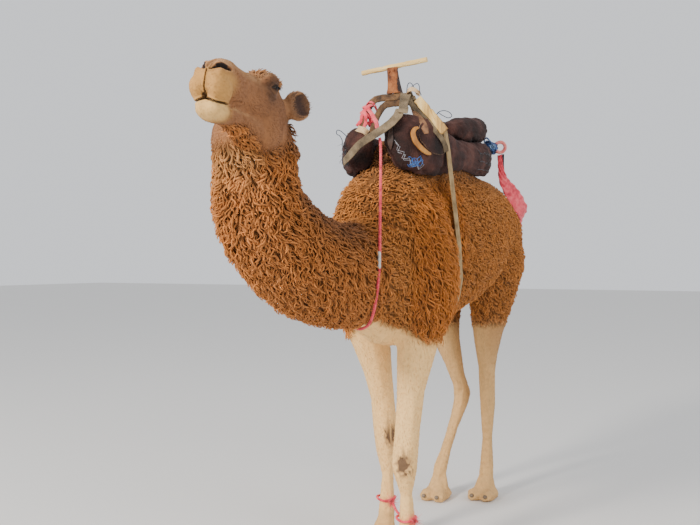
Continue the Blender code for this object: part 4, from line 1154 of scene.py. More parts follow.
# ---------------------------------------------------------------- tack materials
def textured(name, colours, rough, scale, bump=0.4, depth=0.001, fine=None, stretch=(1, 1, 1), metal=0.0,
             sheen=0.0):
    """A material of two or three colours mixed by noise, with bump; stretch draws the noise into grain."""
    material, tree, inputs = new_material(name, colours[0] + (1,), rough, Metallic=metal, Sheen_Weight=sheen)
    grain = add_node(tree, "Mapping", Vector=add_node(tree, "TexCoord", out="Object"), Scale=stretch)
    noise = add_node(tree, "TexNoise", Vector=grain, Scale=scale, Detail=6.0, Roughness=0.6)
    mixed = add_node(tree, "ValToRGB", Fac=noise)
    stops = mixed.node.color_ramp.elements
    while len(stops) < len(colours):
        stops.new(0.5)
    for i, (stop, colour) in enumerate(zip(stops, colours)):
        stop.position = 0.34 + 0.32 * i / (len(colours) - 1)
        stop.color = colour + (1,)
    tree.links.new(mixed, inputs["Base Color"])
    small = add_node(tree, "TexNoise", Vector=grain, Scale=fine or scale * 6, Detail=3.0)
    height = add_node(tree, "Math", noise, small, operation="ADD")
    tree.links.new(add_node(tree, "Bump", Strength=bump, Distance=depth, Height=height), inputs["Normal"])
    return material


RIB, PICK = 0.0032, 0.00256  # the pitch of the weave along and across it


def webbing(name, colours, along, across):
    """Woven webbing: ribs along it and picks across it, by waves on the two ways of the strap."""
    material = textured(name, colours, 0.85, 14.0, depth=0.0006)
    tree = material.node_tree
    place = tree.nodes["Texture Coordinate"].outputs["Object"]
    waves = []
    for way, size in ((along, RIB), (across, PICK)):
        dot = add_node(tree, "VectorMath", place, way, operation="DOT_PRODUCT", out="Value")
        scaled = add_node(tree, "Math", dot, 2 * math.pi / size, operation="MULTIPLY")
        waves.append(add_node(tree, "Math", scaled, operation="SINE"))
    weave = add_node(tree, "Math", *waves, operation="MULTIPLY")
    fine = tree.nodes["Bump"].outputs["Normal"]
    bump = add_node(tree, "Bump", Strength=0.5, Distance=0.0008, Height=weave, Normal=fine)
    tree.links.new(bump, tree.nodes["Principled BSDF"].inputs["Normal"])
    return material


def eye_material():
    """Wet and dark, in the eyeball's own colours."""
    material, tree, inputs = new_material("eye", (0.012, 0.006, 0.004, 1), 0.14, Specular_IOR_Level=0.15,
                                          Coat_Weight=0.12, Coat_Roughness=0.05)
    tree.links.new(add_node(tree, "Attribute", attribute_name="coat_colour"), inputs["Base Color"])
    return material


GRAINED = {  # colours, roughness, the noise's scale, and the rest of each material
    "felt": ([(0.009, 0.003, 0.002), (0.034, 0.01, 0.007), (0.085, 0.03, 0.021)], 0.95, 9.0,
             1.0, 0.004, 150.0),
    "pale_wood": ([(0.3, 0.16, 0.045), (0.68, 0.44, 0.15), (0.82, 0.62, 0.28)], 0.75, 22.0,
                  0.6, 0.0015, 90.0, (0.1, 1, 1)),
    "plank_wood": ([(0.24, 0.12, 0.035), (0.66, 0.41, 0.12), (0.8, 0.58, 0.24)], 0.8, 24.0,
                   0.6, 0.0015, 90.0, (1, 1, 0.1)),
    "brown_wood": ([(0.05, 0.028, 0.018), (0.13, 0.07, 0.04), (0.2, 0.12, 0.07)], 0.8, 18.0,
                   0.6, 0.0015, 80.0, (1, 0.15, 1)),
    "orange_wood": ([(0.24, 0.085, 0.015), (0.46, 0.19, 0.032), (0.56, 0.27, 0.06)], 0.7, 22.0,
                    0.4, 0.001, 90.0, (1, 0.3, 0.3)),
    "rust": ([(0.06, 0.018, 0.008), (0.22, 0.066, 0.018), (0.34, 0.12, 0.036)], 0.85, 26.0,
             0.6, 0.0012, 220.0, (1, 1, 1), 0.1),
    "worn_steel": ([(0.036, 0.018, 0.008), (0.11, 0.054, 0.02), (0.21, 0.11, 0.042)], 0.8, 26.0,
                   0.6, 0.0012, 220.0, (1, 1, 1), 0.1),
    "dark_leather": ([(0.02, 0.009, 0.006), (0.06, 0.028, 0.018)], 0.6, 20.0, 0.5, 0.001, 200.0),
    # painted shade: the post's web gets a darker steel than the rusted post, as it stands in shade
    "steel_painted_shade": ([(0.02, 0.01, 0.008), (0.07, 0.03, 0.018)], 0.8, 26.0, 0.5, 0.001, 220.0),
    "leather": ([(0.08, 0.034, 0.016), (0.23, 0.1, 0.04), (0.36, 0.18, 0.08)], 0.65, 20.0,
                0.5, 0.001, 200.0),
    "rope": ([(0.48, 0.018, 0.036), (0.78, 0.05, 0.085), (0.84, 0.12, 0.14)], 0.8, 60.0,
             0.5, 0.0006, 500.0, (1, 1, 1), 0.0, 0.2),
    "cloth": ([(0.5, 0.02, 0.04), (0.8, 0.06, 0.092), (0.86, 0.145, 0.155)], 0.85, 30.0,
              0.6, 0.0015, 420.0, (1, 1, 1), 0.0, 0.3),
    "blue": ([(0.01, 0.018, 0.05), (0.03, 0.085, 0.26), (0.25, 0.38, 0.56)], 0.6, 40.0,
             0.4, 0.0008, 300.0),
    "blue_thread": ([(0.015, 0.075, 0.3), (0.08, 0.22, 0.56)], 0.8, 60.0, 0.3),
    "wire": ([(0.008, 0.014, 0.028), (0.02, 0.05, 0.11)], 0.45, 40.0, 0.2),
    "ring": ([(0.64, 0.11, 0.1), (0.8, 0.21, 0.18), (0.84, 0.3, 0.26)], 0.55, 25.0,
             0.3, 0.0008, 260.0),
    "black_yarn": ([(0.006, 0.007, 0.01), (0.03, 0.036, 0.05)], 0.9, 60.0,
                   0.4, 0.001, None, (1, 1, 1), 0.0, 0.2),
    "white_yarn": ([(0.2, 0.2, 0.23), (0.44, 0.44, 0.47)], 0.9, 50.0,
                   0.4, 0.001, None, (1, 1, 1), 0.0, 0.2),
    "pale_cloth": ([(0.28, 0.16, 0.07), (0.56, 0.36, 0.18), (0.7, 0.52, 0.31)], 0.9, 25.0,
                   0.6, 0.001, 300.0, (1, 1, 1), 0.0, 0.2),
    "lash": ([(0.008, 0.005, 0.004), (0.022, 0.013, 0.01)], 0.7, 60.0),
    "nail": ([(0.11, 0.075, 0.048), (0.24, 0.17, 0.105)], 0.5, 60.0, 0.3, 0.001, None, (1, 1, 3)),
    "steel_toggle": ([(0.42, 0.4, 0.37), (0.62, 0.59, 0.54)], 0.45, 60.0,
                     0.4, 0.001, None, (1, 1, 1), 0.3),
}
WOVEN = {  # colours, and the two ways of the weave
    "webbing": ([(0.17, 0.105, 0.04), (0.32, 0.205, 0.085), (0.44, 0.3, 0.14)],
                (0.0, 0.979, 0.205), (0.0, -0.205, 0.979)),
    "webbing_dark": ([(0.07, 0.048, 0.026), (0.15, 0.105, 0.056), (0.24, 0.175, 0.1)],
                     (0.4, 0.7, 0.6), (0.7, -0.6, 0.3)),
}
PALETTE = {name: textured(name, *row) for name, row in GRAINED.items()}
PALETTE.update({name: webbing(name, *row) for name, row in WOVEN.items()})
PALETTE.update(eye=eye_material(), camel_fur=fur_material("camel_fur", 0.85, 0.04))


# ---------------------------------------------------------------- the tack
def finish(obj, material, slot, *nodes):
    """Gives a finished piece its material and body, and hides the nodes that it stands for; slot is not used.
    """
    obj.data.materials.append(PALETTE[material])
    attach(obj, "root")
    if nodes:
        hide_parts(*nodes)


SWELL_STEPS = 14


def swell_pad(obj, cap):
    """Blows a pad up a little as cloth, and keeps every point near where it was."""
    start = points_of(obj.data)
    push(obj, np.full(len(start), -0.5 * cap))
    cloth = obj.modifiers.new("cloth", "CLOTH")
    cloth.settings.use_pressure = True
    cloth.settings.uniform_pressure_force = 4
    cloth.settings.quality = 4
    cloth.settings.effector_weights.gravity = 0
    cloth.settings.tension_stiffness = 8
    cloth.settings.shrink_min = -0.02
    cloth.collision_settings.use_collision = False
    scene = bpy.context.scene
    for step in range(1, SWELL_STEPS + 1):
        scene.frame_set(step)
    apply_modifiers(obj)
    scene.frame_set(1)
    moved = points_of(obj.data) - start
    far = np.linalg.norm(moved, axis=1, keepdims=True)
    set_points(obj.data, start + moved * np.minimum(1, cap / np.maximum(far, 1e-6)))


PAD_SWELL = 0.007  # the most that a point moves when a pad is blown up
SEAMS = (1.955, 1.905)  # heights of the two quilted rows on a long pad, at its middle
GIRTH_NORMAL = np.array([0.0, 0.979, 0.205])
GIRTH_POINT = np.array([0.006, 0.129, 1.938])


def make_pad(name, side):
    """A stuffed felt pad: swelled, creased along its length, pinched by the girth, with a seam at its end."""
    pad = remade("felt_" + name, [name], 0.009, 6)
    swell_pad(pad, PAD_SWELL)
    points = points_of(pad.data)
    edges = edges_of(pad.data)
    normals = unit(spread(normals_of(pad.data), edges, 2))
    x, y, z = points.T
    girth = np.abs((points - GIRTH_POINT) @ GIRTH_NORMAL)
    outer = ramp(normals[:, 0] * side, -0.1, 0.5) if side else ramp(normals[:, 2], -0.2, 0.4)
    fold = noise_turns(points * np.array([1, 0.3, 1.9]), 0.1, 21)
    small = noise_turns(points * np.array([1, 0.45, 1.6]), 0.042, 22)
    crease = -0.006 * bell(fold, 0.16) - 0.0024 * bell(small, 0.2)
    lumps = 0.003 * noise_turns(points, 0.15, 23)
    amount = crease + lumps + 0.004 * outer * ramp(girth, 0.02, 0.06)
    if side:
        rise = z - 0.05 * (y - 0.6)
        rows = -0.0055 * sum(bell(rise - height, 0.007) for height in SEAMS)
        amount = amount + rows * ramp(y, 0.45, 0.6) * outer
        amount = amount - 0.006 * bell(y + 0.095 - 0.3 * np.abs(z - 1.95), 0.007) * outer
    else:
        amount = amount - 0.006 * bell(np.abs(x), 0.008) - 0.005 * bell(y - 0.98, 0.006)
    points = points + normals * amount[:, None]
    set_points(pad.data, spread(points, edges, 1, 0.35))
    return pad


def make_pads():
    """The two long pads and the rear one; the trees of the long ones' surfaces, for what is sewn on them."""
    trees = []
    for name, side in (("pad_left", 1), ("pad_right", -1), ("pad_rear", 0)):
        pad = make_pad(name, side)
        finish(pad, "felt", "felt", name)
        trees.append(tree_of(bmesh_of(pad.data)))
    return trees[:2]


def make_yarn(left, right):
    """Yarn stitched in a zigzag over the left pad's front edge, lacing on its rear, a fringe and a patch."""
    zigzag = [(0.111, -0.159, 1.959), (0.13, -0.156, 1.936), (0.119, -0.154, 1.914), (0.15, -0.144, 1.904),
              (0.14, -0.146, 1.877), (0.164, -0.121, 1.878), (0.161, -0.101, 1.849), (0.185, -0.087, 1.858),
              (0.186, -0.065, 1.832), (0.212, -0.056, 1.874)]
    pieces = []
    corners = np.array(zigzag)
    line = [a + (b - a) * t for a, b in zip(corners[:-1], corners[1:]) for t in (0, 0.25, 0.5, 0.75)]
    for shift in ((0, 0, 0), (0.005, 0.004, -0.009)):
        pieces.append(tube("yarn", on_surface(left, np.array(line) + shift, 0.0012), 0.001, 6))
    finish(join("yarn_stitch", pieces), "white_yarn", "blue_cord")
    rng = np.random.default_rng(SEED + 4)
    tangle = []
    for _ in range(7):
        line = [(0.15 + 0.06 * t, -0.12 + 0.06 * t + rng.normal(0, 0.004), 1.862 + rng.normal(0, 0.014))
                for t in np.linspace(rng.uniform(0, 0.3), rng.uniform(0.6, 1), 6)]
        tangle.append(tube("thread", on_surface(left, catmull(line, 24), 0.0016), 0.0011, 5))
    finish(join("blue_threads", tangle), "blue_thread", "blue_cord")
    lace = []
    for row, height in enumerate((1.99, 1.935, 1.885)):
        line = [(0.3, 0.56 + 0.02 * k, height + 0.006 * math.sin(2.4 * k + row)) for k in range(16)]
        lace.append(tube("lace", on_surface(left, line, 0.001), 0.0014, 5))
    finish(join("pad_lacing", lace), "black_yarn", "felt")
    rng = np.random.default_rng(SEED + 5)
    fringe = []
    for _ in range(70):
        start = (-0.205 + 0.055 * rng.random(), -0.17, 1.835 + 0.13 * rng.random())
        root = on_surface(right, [start], 0.0)[0]
        line = [root]
        way = Vector((-0.5 + 0.5 * rng.random(), -1.0, 0.2 - 0.8 * rng.random())).normalized()
        for _ in range(5):
            way = (way + Vector(rng.normal(0, 0.35, 3)) + Vector((0, 0, -0.35))).normalized()
            line.append(line[-1] + way * rng.uniform(0.005, 0.01))
        fringe.append(tube("fringe", catmull(line, 10), 0.0011, 4, np.linspace(1, 0.3, 10)))
    finish(join("pad_fringe", fringe), "black_yarn", "felt")
    line = on_surface(right, [(-0.085, -0.16, 2.03), (-0.07, -0.16, 2.02), (-0.05, -0.155, 2.01),
                              (-0.034, -0.15, 2.0)], 0.004)
    patch = ribbon("pad_patch", line, (0.1, -1, 0.4), 0.03, 0.004, 24, 7, 0.004, 0.002)
    finish(patch, "pale_cloth", "felt")


def make_wood():
    """The saddle's wood: cross bar, split plank, side board and rails."""
    bar = remade("bar_wood", ["handle_bar"], 0.0022, 2)
    points = points_of(bar.data)
    cracks = bell(noise_turns(points * np.array([0.12, 1, 1]), 0.02, 32), 0.12)
    push(bar, 0.001 * noise_turns(points * np.array([0.25, 1, 1]), 0.014, 31) - 0.0022 * cracks)
    finish(bar, "pale_wood", "pale_wood", "handle_bar")
    plank = remade("plank_wood", ["plank"], 0.0025, 2)
    points = points_of(plank.data)
    low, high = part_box("plank")
    t = (high.z - points[:, 2]) / (high.z - low.z)
    middle = low.x + 0.055 + (high.x - low.x - 0.085) * t
    split = bell(points[:, 0] - middle - 0.004 * np.sin(9 * t), 0.0022)
    split = split * ramp(t, -0.05, 0.05) * ramp(-t, -0.72, -0.6)
    push(plank, -0.006 * split + 0.0012 * noise_turns(points * np.array([1, 1, 0.2]), 0.016, 33))
    finish(plank, "plank_wood", "pale_wood", "plank")
    board = remade("side_board", ["flap_left"], 0.003, 2)
    uneven(board, 0.001, 0.03, 34)
    finish(board, "felt", "brown_wood", "flap_left")
    board.data.materials.append(PALETTE["brown_wood"])
    face_way = Vector((0.93, -0.18, 0.31)).normalized()
    for face in board.data.polygons:
        face.material_index = int(abs(face.normal @ face_way) < 0.72 and face.center.y < 0.1)
    rim_path = [(0.204, -0.108, 2.016), (0.194, -0.124, 2.008), (0.19, -0.133, 1.986),
                (0.2, -0.124, 1.949), (0.218, -0.096, 1.92), (0.23, -0.062, 1.905),
                (0.236, -0.036, 1.902)]
    rim_widths = [0.01, 0.018, 0.022, 0.023, 0.022, 0.018, 0.01]
    rim = ribbon("board_rim", rim_path, (0.62, -0.7, 0.1), rim_widths, 0.009, 60, 9, -0.002)
    finish(rim, "orange_wood", "brown_wood")
    for word, _ in SIDES:
        rail = remade("rail_wood_" + word, ["rail_" + word], 0.003, 2)
        uneven(rail, 0.001, 0.02, 35, (1, 0.2, 1))
        finish(rail, "brown_wood", "brown_wood", "rail_" + word)


def make_steel():
    """The rusted arches and post, with the post's web, weld beads and bolts."""
    for name in ("arch_front", "arch_rear"):
        arch = remade("steel_" + name, [name], 0.0025, 2)
        uneven(arch, 0.0005, 0.02, 41)
        finish(arch, "worn_steel", "rusted_steel", name)
    low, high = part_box("handle_post")
    left, right = low.x + 0.005, low.x + 0.057
    outline = ((left - 0.002, right + 0.001, high.z - 0.001), (left, right, high.z - 0.03),
               (left + 0.002, right - 0.001, 2.275), (left + 0.001, right, 2.24),
               (left - 0.004, right + 0.006, low.z))
    y0, y1 = low.y, low.y + 0.45 * (high.y - low.y)
    rings = [[(a, y0, z), (a + 0.003, y0 - 0.001, z), (b - 0.003, y0 - 0.001, z), (b, y0, z),
              (b, y1, z), (a, y1, z)] for a, b, z in outline]
    post = loft("steel_post", catmull(rings, 30))
    uneven(post, 0.0004, 0.02, 42)
    finish(post, "rust", "rusted_steel", "handle_post")
    web_line = ((high.z - 0.004, 0.004), (2.3, 0.022), (2.26, 0.046), (low.z + 0.004, 0.078))
    rings = [[(right - 0.006, low.y, z), (right - 0.001, low.y, z), (right - 0.001, low.y + back + 0.004, z),
              (right - 0.006, low.y + back + 0.004, z)] for z, back in web_line]
    web = loft("post_web", catmull(rings, 20))
    # painted shade: a darker steel than the post
    finish(web, "steel_painted_shade", "rusted_steel")
    beads = []
    for y in (low.y - 0.001, high.y + 0.001):
        line = [(low.x + 0.004 + (high.x - low.x - 0.008) * t, y + 0.0008 * math.sin(40 * t), low.z + 0.0005)
                for t in np.linspace(0, 1, 24)]
        beads.append(tube("bead", line, 0.0024, 6, [0.8 + 0.3 * math.sin(5 * k) for k in range(24)]))
    finish(join("weld_beads", beads), "rust", "rusted_steel")
    bolts = []
    for across in (0.0, 0.034):
        x, y, z = low.x + 0.016 + 0.75 * across, low.y - 0.0015, high.z - 0.022 + 0.16 * across
        line = [(x, y - t, z) for t in (0.0, 0.0015, 0.004, 0.0055)]
        bolts.append(tube("bolt", line, 0.006, 6, [1.0, 1.0, 1.0, 0.72]))
    finish(join("post_bolts", bolts), "rust", "rusted_steel")


STRAP_EDGE = 0.0012
GIRTH_SPREAD = 1.45  # the webbing lies wider than the strap's stiff core
STRAPS = (  # name, material, path, the way up, width, thickness, points along and across, cup, frill
    ("arch_tie", "webbing_dark",
     [(0.086, 0.028, 2.206), (0.104, -0.03, 2.17), (0.128, -0.1, 2.126), (0.15, -0.15, 2.1),
      (0.153, -0.168, 2.078)],
     (0.35, -0.6, 0.7), [0.052, 0.046, 0.04, 0.044, 0.046], 0.004, 50, 11, 0.003, 0.0014),
    ("plank_strap", "webbing_dark",
     [(0.086, 0.026, 2.204), (0.116, 0.002, 2.164), (0.152, -0.006, 2.118), (0.196, -0.008, 2.074),
      (0.232, 0.0, 2.03), (0.262, 0.034, 1.985), (0.268, 0.07, 1.952), (0.266, 0.09, 1.925)],
     (0.55, -0.78, 0.3), 0.026, 0.0035, 70),
    ("side_leather", "leather",
     [(0.128, 0.02, 2.128), (0.16, -0.03, 2.098), (0.196, -0.064, 2.06), (0.222, -0.07, 2.02),
      (0.226, -0.066, 1.992)],
     (0.6, -0.75, 0.2), [0.02, 0.03, 0.036, 0.034, 0.026], 0.004, 44, 9, -0.002),
)
ARCH_WRAPS = (  # each turn round the arch: place across, height and tilt
    (0.098, 2.196, 0.5), (0.112, 2.176, 0.2), (0.122, 2.156, -0.3), (0.132, 2.136, 0.1),
)


def make_straps(left_pad):
    """The webbing, girth and front strap, the ties round the arch and down the plank, and small leathers."""
    girth = softened("girth_webbing", "girth_strap", STRAP_EDGE)
    points = points_of(girth.data)
    middle = np.polyval(np.polyfit(points[:, 2], points[:, 1], 1), points[:, 2])
    points[:, 1] = middle + (points[:, 1] - middle) * GIRTH_SPREAD
    set_points(girth.data, points)
    finish(girth, "webbing", "webbing", "girth_strap")
    front = softened("front_webbing", "front_strap", STRAP_EDGE)
    finish(front, "webbing_dark", "webbing", "front_strap")
    for name, material, *strap in STRAPS:
        finish(ribbon(name, *strap), material, "webbing")
    line = on_surface(left_pad, [(0.098, -0.17, 2.02), (0.096, -0.17, 1.995), (0.094, -0.17, 1.965),
                                 (0.091, -0.17, 1.94), (0.088, -0.16, 1.915)], 0.004)
    widths = [0.012, 0.018, 0.03, 0.022, 0.004]
    leaf = ribbon("leaf_leather", line, (0.1, -1, 0.1), widths, 0.003, 40, 9, 0.002)
    finish(leaf, "dark_leather", "webbing")
    wraps = []
    axis = unit(np.array([0.5, 0.0, -0.87]))
    side = np.array([0.0, 1.0, 0.0])
    turns = np.linspace(0, 2 * np.pi, 17)
    for k, (x, z, tilt) in enumerate(ARCH_WRAPS):
        wide = np.outer(np.cos(turns), unit(np.cross(axis, side)) * (0.017 + 0.002 * k))
        out = wide + np.outer(np.sin(turns), (side + axis * tilt * 0.4) * 0.013)
        wraps.append(ribbon("wrap", np.array([x, 0.043, z]) + out, out, 0.021, 0.0032, 48, 7, 0.001))
    finish(join("arch_wraps", wraps), "webbing_dark", "webbing")
    bundle = []
    for k in range(3):
        line = [(0.088 + 0.006 * k, 0.034, 2.206 + 0.007 * k), (0.112, 0.026, 2.222 + 0.006 * k),
                (0.138, 0.034, 2.214 + 0.005 * k), (0.147 - 0.004 * k, 0.05, 2.196 + 0.004 * k)]
        widths = [0.022, 0.03, 0.028, 0.016]
        bundle.append(ribbon("fold", line, (0.1, -0.3, 1.0), widths, 0.0045, 30, 9, -0.003, 0.0012))
    finish(join("pale_bundle", bundle), "pale_cloth", "webbing")


WIRES = (
    [(0.084, 0.04, 2.214), (0.086, 0.04, 2.236), (0.093, 0.038, 2.255), (0.105, 0.036, 2.258),
     (0.116, 0.04, 2.246), (0.12, 0.046, 2.228), (0.108, 0.05, 2.224), (0.1, 0.044, 2.232),
     (0.12, 0.036, 2.244), (0.14, 0.036, 2.252), (0.149, 0.04, 2.24), (0.15, 0.044, 2.216),
     (0.156, 0.048, 2.196)],
    [(0.146, 0.262, 2.085), (0.15, 0.258, 2.128), (0.162, 0.262, 2.15), (0.186, 0.276, 2.158),
     (0.208, 0.296, 2.15), (0.214, 0.31, 2.134), (0.196, 0.306, 2.126), (0.172, 0.284, 2.138),
     (0.16, 0.262, 2.146), (0.15, 0.25, 2.12), (0.148, 0.244, 2.08)],
    [(-0.14, -0.14, 1.99), (-0.16, -0.168, 2.016), (-0.178, -0.176, 2.022), (-0.184, -0.17, 2.006),
     (-0.17, -0.166, 1.996), (-0.16, -0.16, 1.975), (-0.166, -0.15, 1.95)],
)


def make_cords():
    """Thin dark wires looped over the saddle."""
    pieces = [tube("wire", catmull(line, 12 * len(line)), 0.0019, 7) for line in WIRES]
    finish(join("wire_loops", pieces), "wire", "blue_cord")


BREAST_LINE = [(0.046, -0.184, 1.968), (0.058, -0.2, 1.94), (0.088, -0.264, 1.804),
               (0.117, -0.33, 1.668), (0.145, -0.394, 1.532), (0.159, -0.425, 1.464),
               (0.171, -0.454, 1.395), (0.171, -0.468, 1.32), (0.159, -0.464, 1.246),
               (0.133, -0.44, 1.178), (0.09, -0.396, 1.13), (0.033, -0.348, 1.108),
               (-0.023, -0.296, 1.105), (-0.079, -0.244, 1.107), (-0.134, -0.192, 1.109),
               (-0.186, -0.141, 1.133), (-0.237, -0.089, 1.156), (-0.288, -0.038, 1.179),
               (-0.312, -0.003, 1.244), (-0.327, 0.024, 1.315), (-0.323, 0.035, 1.391),
               (-0.317, 0.045, 1.466), (-0.297, 0.038, 1.54), (-0.276, 0.033, 1.613),
               (-0.255, 0.027, 1.686), (-0.234, 0.022, 1.759)]
KNOT_SHIFT = np.array((0.024, 0.01, -0.014))
KNOT_STRIPS = (  # the knot's cloth strips: points, and width
    ([(-0.15, 0.02, 2.165), (-0.15, -0.012, 2.172), (-0.128, -0.032, 2.166), (-0.1, -0.04, 2.14),
      (-0.076, -0.052, 2.108), (-0.054, -0.066, 2.078), (-0.044, -0.078, 2.05)], 0.02),
    ([(-0.1, 0.02, 2.17), (-0.106, -0.014, 2.176), (-0.126, -0.034, 2.158), (-0.14, -0.046, 2.128),
      (-0.142, -0.058, 2.096), (-0.156, -0.072, 2.07)], 0.018),
    ([(-0.16, 0.03, 2.15), (-0.166, -0.004, 2.15), (-0.15, -0.034, 2.14), (-0.124, -0.044, 2.128),
      (-0.106, -0.036, 2.11), (-0.1, -0.004, 2.1), (-0.104, 0.024, 2.104)], 0.017),
    ([(-0.134, -0.036, 2.15), (-0.12, -0.05, 2.12), (-0.116, -0.056, 2.09),
      (-0.122, -0.062, 2.062)], 0.016),
    ([(-0.142, 0.01, 2.176), (-0.124, -0.01, 2.192), (-0.104, -0.006, 2.19), (-0.094, 0.012, 2.174),
      (-0.1, 0.03, 2.156)], 0.015),
)


def make_ropes():
    """The breast rope with its toggle, the pink knot on the arch and the hobbles."""
    breast = twisted("breast_rope_laid", BREAST_LINE, 0.0068, 0.03)
    finish(breast, "rope", "pink_rope", "breast_rope")
    line = catmull([(0.166, -0.448, 1.446), (0.172, -0.458, 1.41), (0.174, -0.466, 1.374)], 14)
    waist = [0.6, 0.95, 1, 0.9, 0.85, 0.85, 0.9]
    toggle = tube("rope_toggle", line, 0.0085, 10, waist + waist[::-1])
    finish(toggle, "steel_toggle", "ring")
    knot = remade("knot_cloth", ["knot_front"], 0.0035, 6)
    core = np.array((-0.118, -0.012, 2.12))
    set_points(knot.data, core + KNOT_SHIFT + (points_of(knot.data) - core) * np.array((0.34, 0.55, 0.62)))
    points = points_of(knot.data)
    folds = bell(noise_turns(points, 0.04, 52), 0.16)
    push(knot, 0.0025 * noise_turns(points * np.array([1, 1, 0.5]), 0.03, 51) - 0.004 * folds)
    finish(knot, "cloth", "pink_cloth", "knot_front")
    tails = []
    for line, size in KNOT_STRIPS:
        up = unit(np.array(line) - core + np.array((0.02, -0.05, 0.01)))
        tails.append(ribbon("strip", line + KNOT_SHIFT, up, size, 0.0032, 60, 9, -0.002, 0.0016, 5.0))
    finish(join("knot_strips", tails), "cloth", "pink_cloth")
    rings = []
    for word, _ in SIDES:
        low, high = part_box("hobble_" + word)
        centre, half = (low + high) / 2, (high - low) / 2
        turns = np.linspace(0, 2 * np.pi, 25)
        out = np.stack([(half.x - 0.0115) * np.cos(turns), (half.y - 0.0115) * np.sin(turns),
                        0.004 * np.sin(2 * turns + 1)], 1)
        rings.append(twisted("ring", np.array(centre) + out, 0.0062, 0.024))
    finish(join("hobble_rings", rings), "rope", "pink_rope", "hobble_left", "hobble_right")
    line = [(0.108, -0.028, 0.211), (0.095, -0.012, 0.205), (0.079, 0.007, 0.198), (0.061, 0.028, 0.19),
            (0.043, 0.048, 0.187), (0.025, 0.069, 0.186), (0.008, 0.089, 0.189), (-0.009, 0.109, 0.195),
            (-0.026, 0.129, 0.204), (-0.043, 0.148, 0.212)]
    between = twisted("hobble_rope", line, 0.0068, 0.026)
    finish(between, "rope", "pink_rope", "hobble_link")
    rng = np.random.default_rng(SEED + 9)
    fluff = []
    for centre in ((0.182, -0.1, 0.214), (-0.036, 0.135, 0.214)):
        for _ in range(240):
            way = Vector(rng.normal(0, 1, 3)).normalized()
            start = Vector(centre) + way * 0.004
            bend = Vector(rng.normal(0, 0.4, 3))
            reach = rng.uniform(0.014, 0.034)
            end = [start, start + way * reach * 0.5 + bend * 0.006, start + (way + bend * 0.9) * reach]
            fluff.append(tube("fluff", catmull(end, 6), 0.0007, 3, np.linspace(1, 0.3, 6)))
    finish(join("hobble_fluff", fluff), "cloth", "pink_cloth")


CRUPPER_HALF = [(0.238, 1.02, 2.02), (0.226, 1.06, 1.945), (0.222, 1.11, 1.875), (0.24, 1.19, 1.81),
                (0.262, 1.27, 1.745), (0.262, 1.36, 1.68), (0.2, 1.44, 1.625), (0.09, 1.51, 1.575),
                (0.0, 1.53, 1.545)]
RING_CENTRE, RING_RADIUS, RING_TUBE = Vector((0.245, 1.0, 2.062)), 0.029, 0.01
RING_NORMAL = Vector((0.45, -0.85, -0.12))
BLUE_CORDS = (
    [(0.17, 0.975, 2.09), (0.176, 0.962, 2.108), (0.19, 0.958, 2.112), (0.202, 0.964, 2.1),
     (0.212, 0.972, 2.084)],
    [(0.214, 0.98, 2.078), (0.226, 0.966, 2.07), (0.238, 0.968, 2.056), (0.236, 0.984, 2.04),
     (0.224, 0.992, 2.046)],
    [(0.204, 0.968, 2.07), (0.214, 0.958, 2.052), (0.228, 0.96, 2.036), (0.236, 0.972, 2.028)],
)


def make_crupper():
    """The pink crupper: a band that opens out into a knitted scarf over the rump, and a dark strap beside."""
    left = np.array(CRUPPER_HALF) + np.array(SHIFT)
    line = np.vstack([left, left[-2::-1] * (-1, 1, 1) + (2 * SHIFT.x, 0, 0)])
    order = np.arange(len(line))
    loose = np.interp(order, (0, 1, 5, 7), (1.0, 1.0, 0.75, 0.0))[:, None]
    way = unit((line - np.array((SHIFT.x, 1.15, 1.5))) * np.array([1.0, 0.9, 0.7]))
    up = unit(way * (1 - loose) + np.array((0.46, -0.86, 0.2)) * loose)
    line += np.outer(np.interp(order, (0, 2, 5, 7), (0.0, 0.6, 1.0, 0.0)), (0.02, 0.012, 0.01))
    width = [0.026, 0.034, 0.06, 0.098, 0.112, 0.098, 0.07, 0.044, 0.034, 0.04, 0.048, 0.05, 0.048,
             0.044, 0.034, 0.026, 0.022]
    band = ribbon("crupper_scarf", line, up, width, 0.005, 300, 21, -0.004, 0.0036, 9.0)
    uneven(band, 0.0013, 0.012, 61)
    finish(band, "cloth", "pink_cloth", "crupper")
    dark = ribbon("crupper_strap", left[:4] + np.array((0.012, 0.02, 0.006)), up[:4], 0.014, 0.003, 40, 7)
    finish(dark, "black_yarn", "webbing")
    centre = RING_CENTRE + SHIFT
    normal = RING_NORMAL.normalized()
    one = normal.cross(Vector((0, 0, 1))).normalized()
    two = normal.cross(one)
    line = [centre + (one * math.cos(turn) + two * math.sin(turn)) * RING_RADIUS for turn in circle(64)]
    ring = tube("rear_ring", line, RING_TUBE * 0.98, 18, closed=True)
    uneven(ring, 0.0004, 0.03, 62)
    finish(ring, "ring", "ring", "ring_rear")
    knot = remade("blue_knot", ["knot_rear"], 0.003, 4)
    points = points_of(knot.data)
    push(knot, 0.003 * noise_turns(points, 0.022, 63) - 0.003 * bell(noise_turns(points, 0.03, 64), 0.2))
    finish(knot, "blue", "blue_cord", "knot_rear")
    cords = [twisted("cord", line, 0.005, 0.018, 6) for line in BLUE_CORDS]
    finish(join("blue_cords", cords), "blue", "blue_cord")


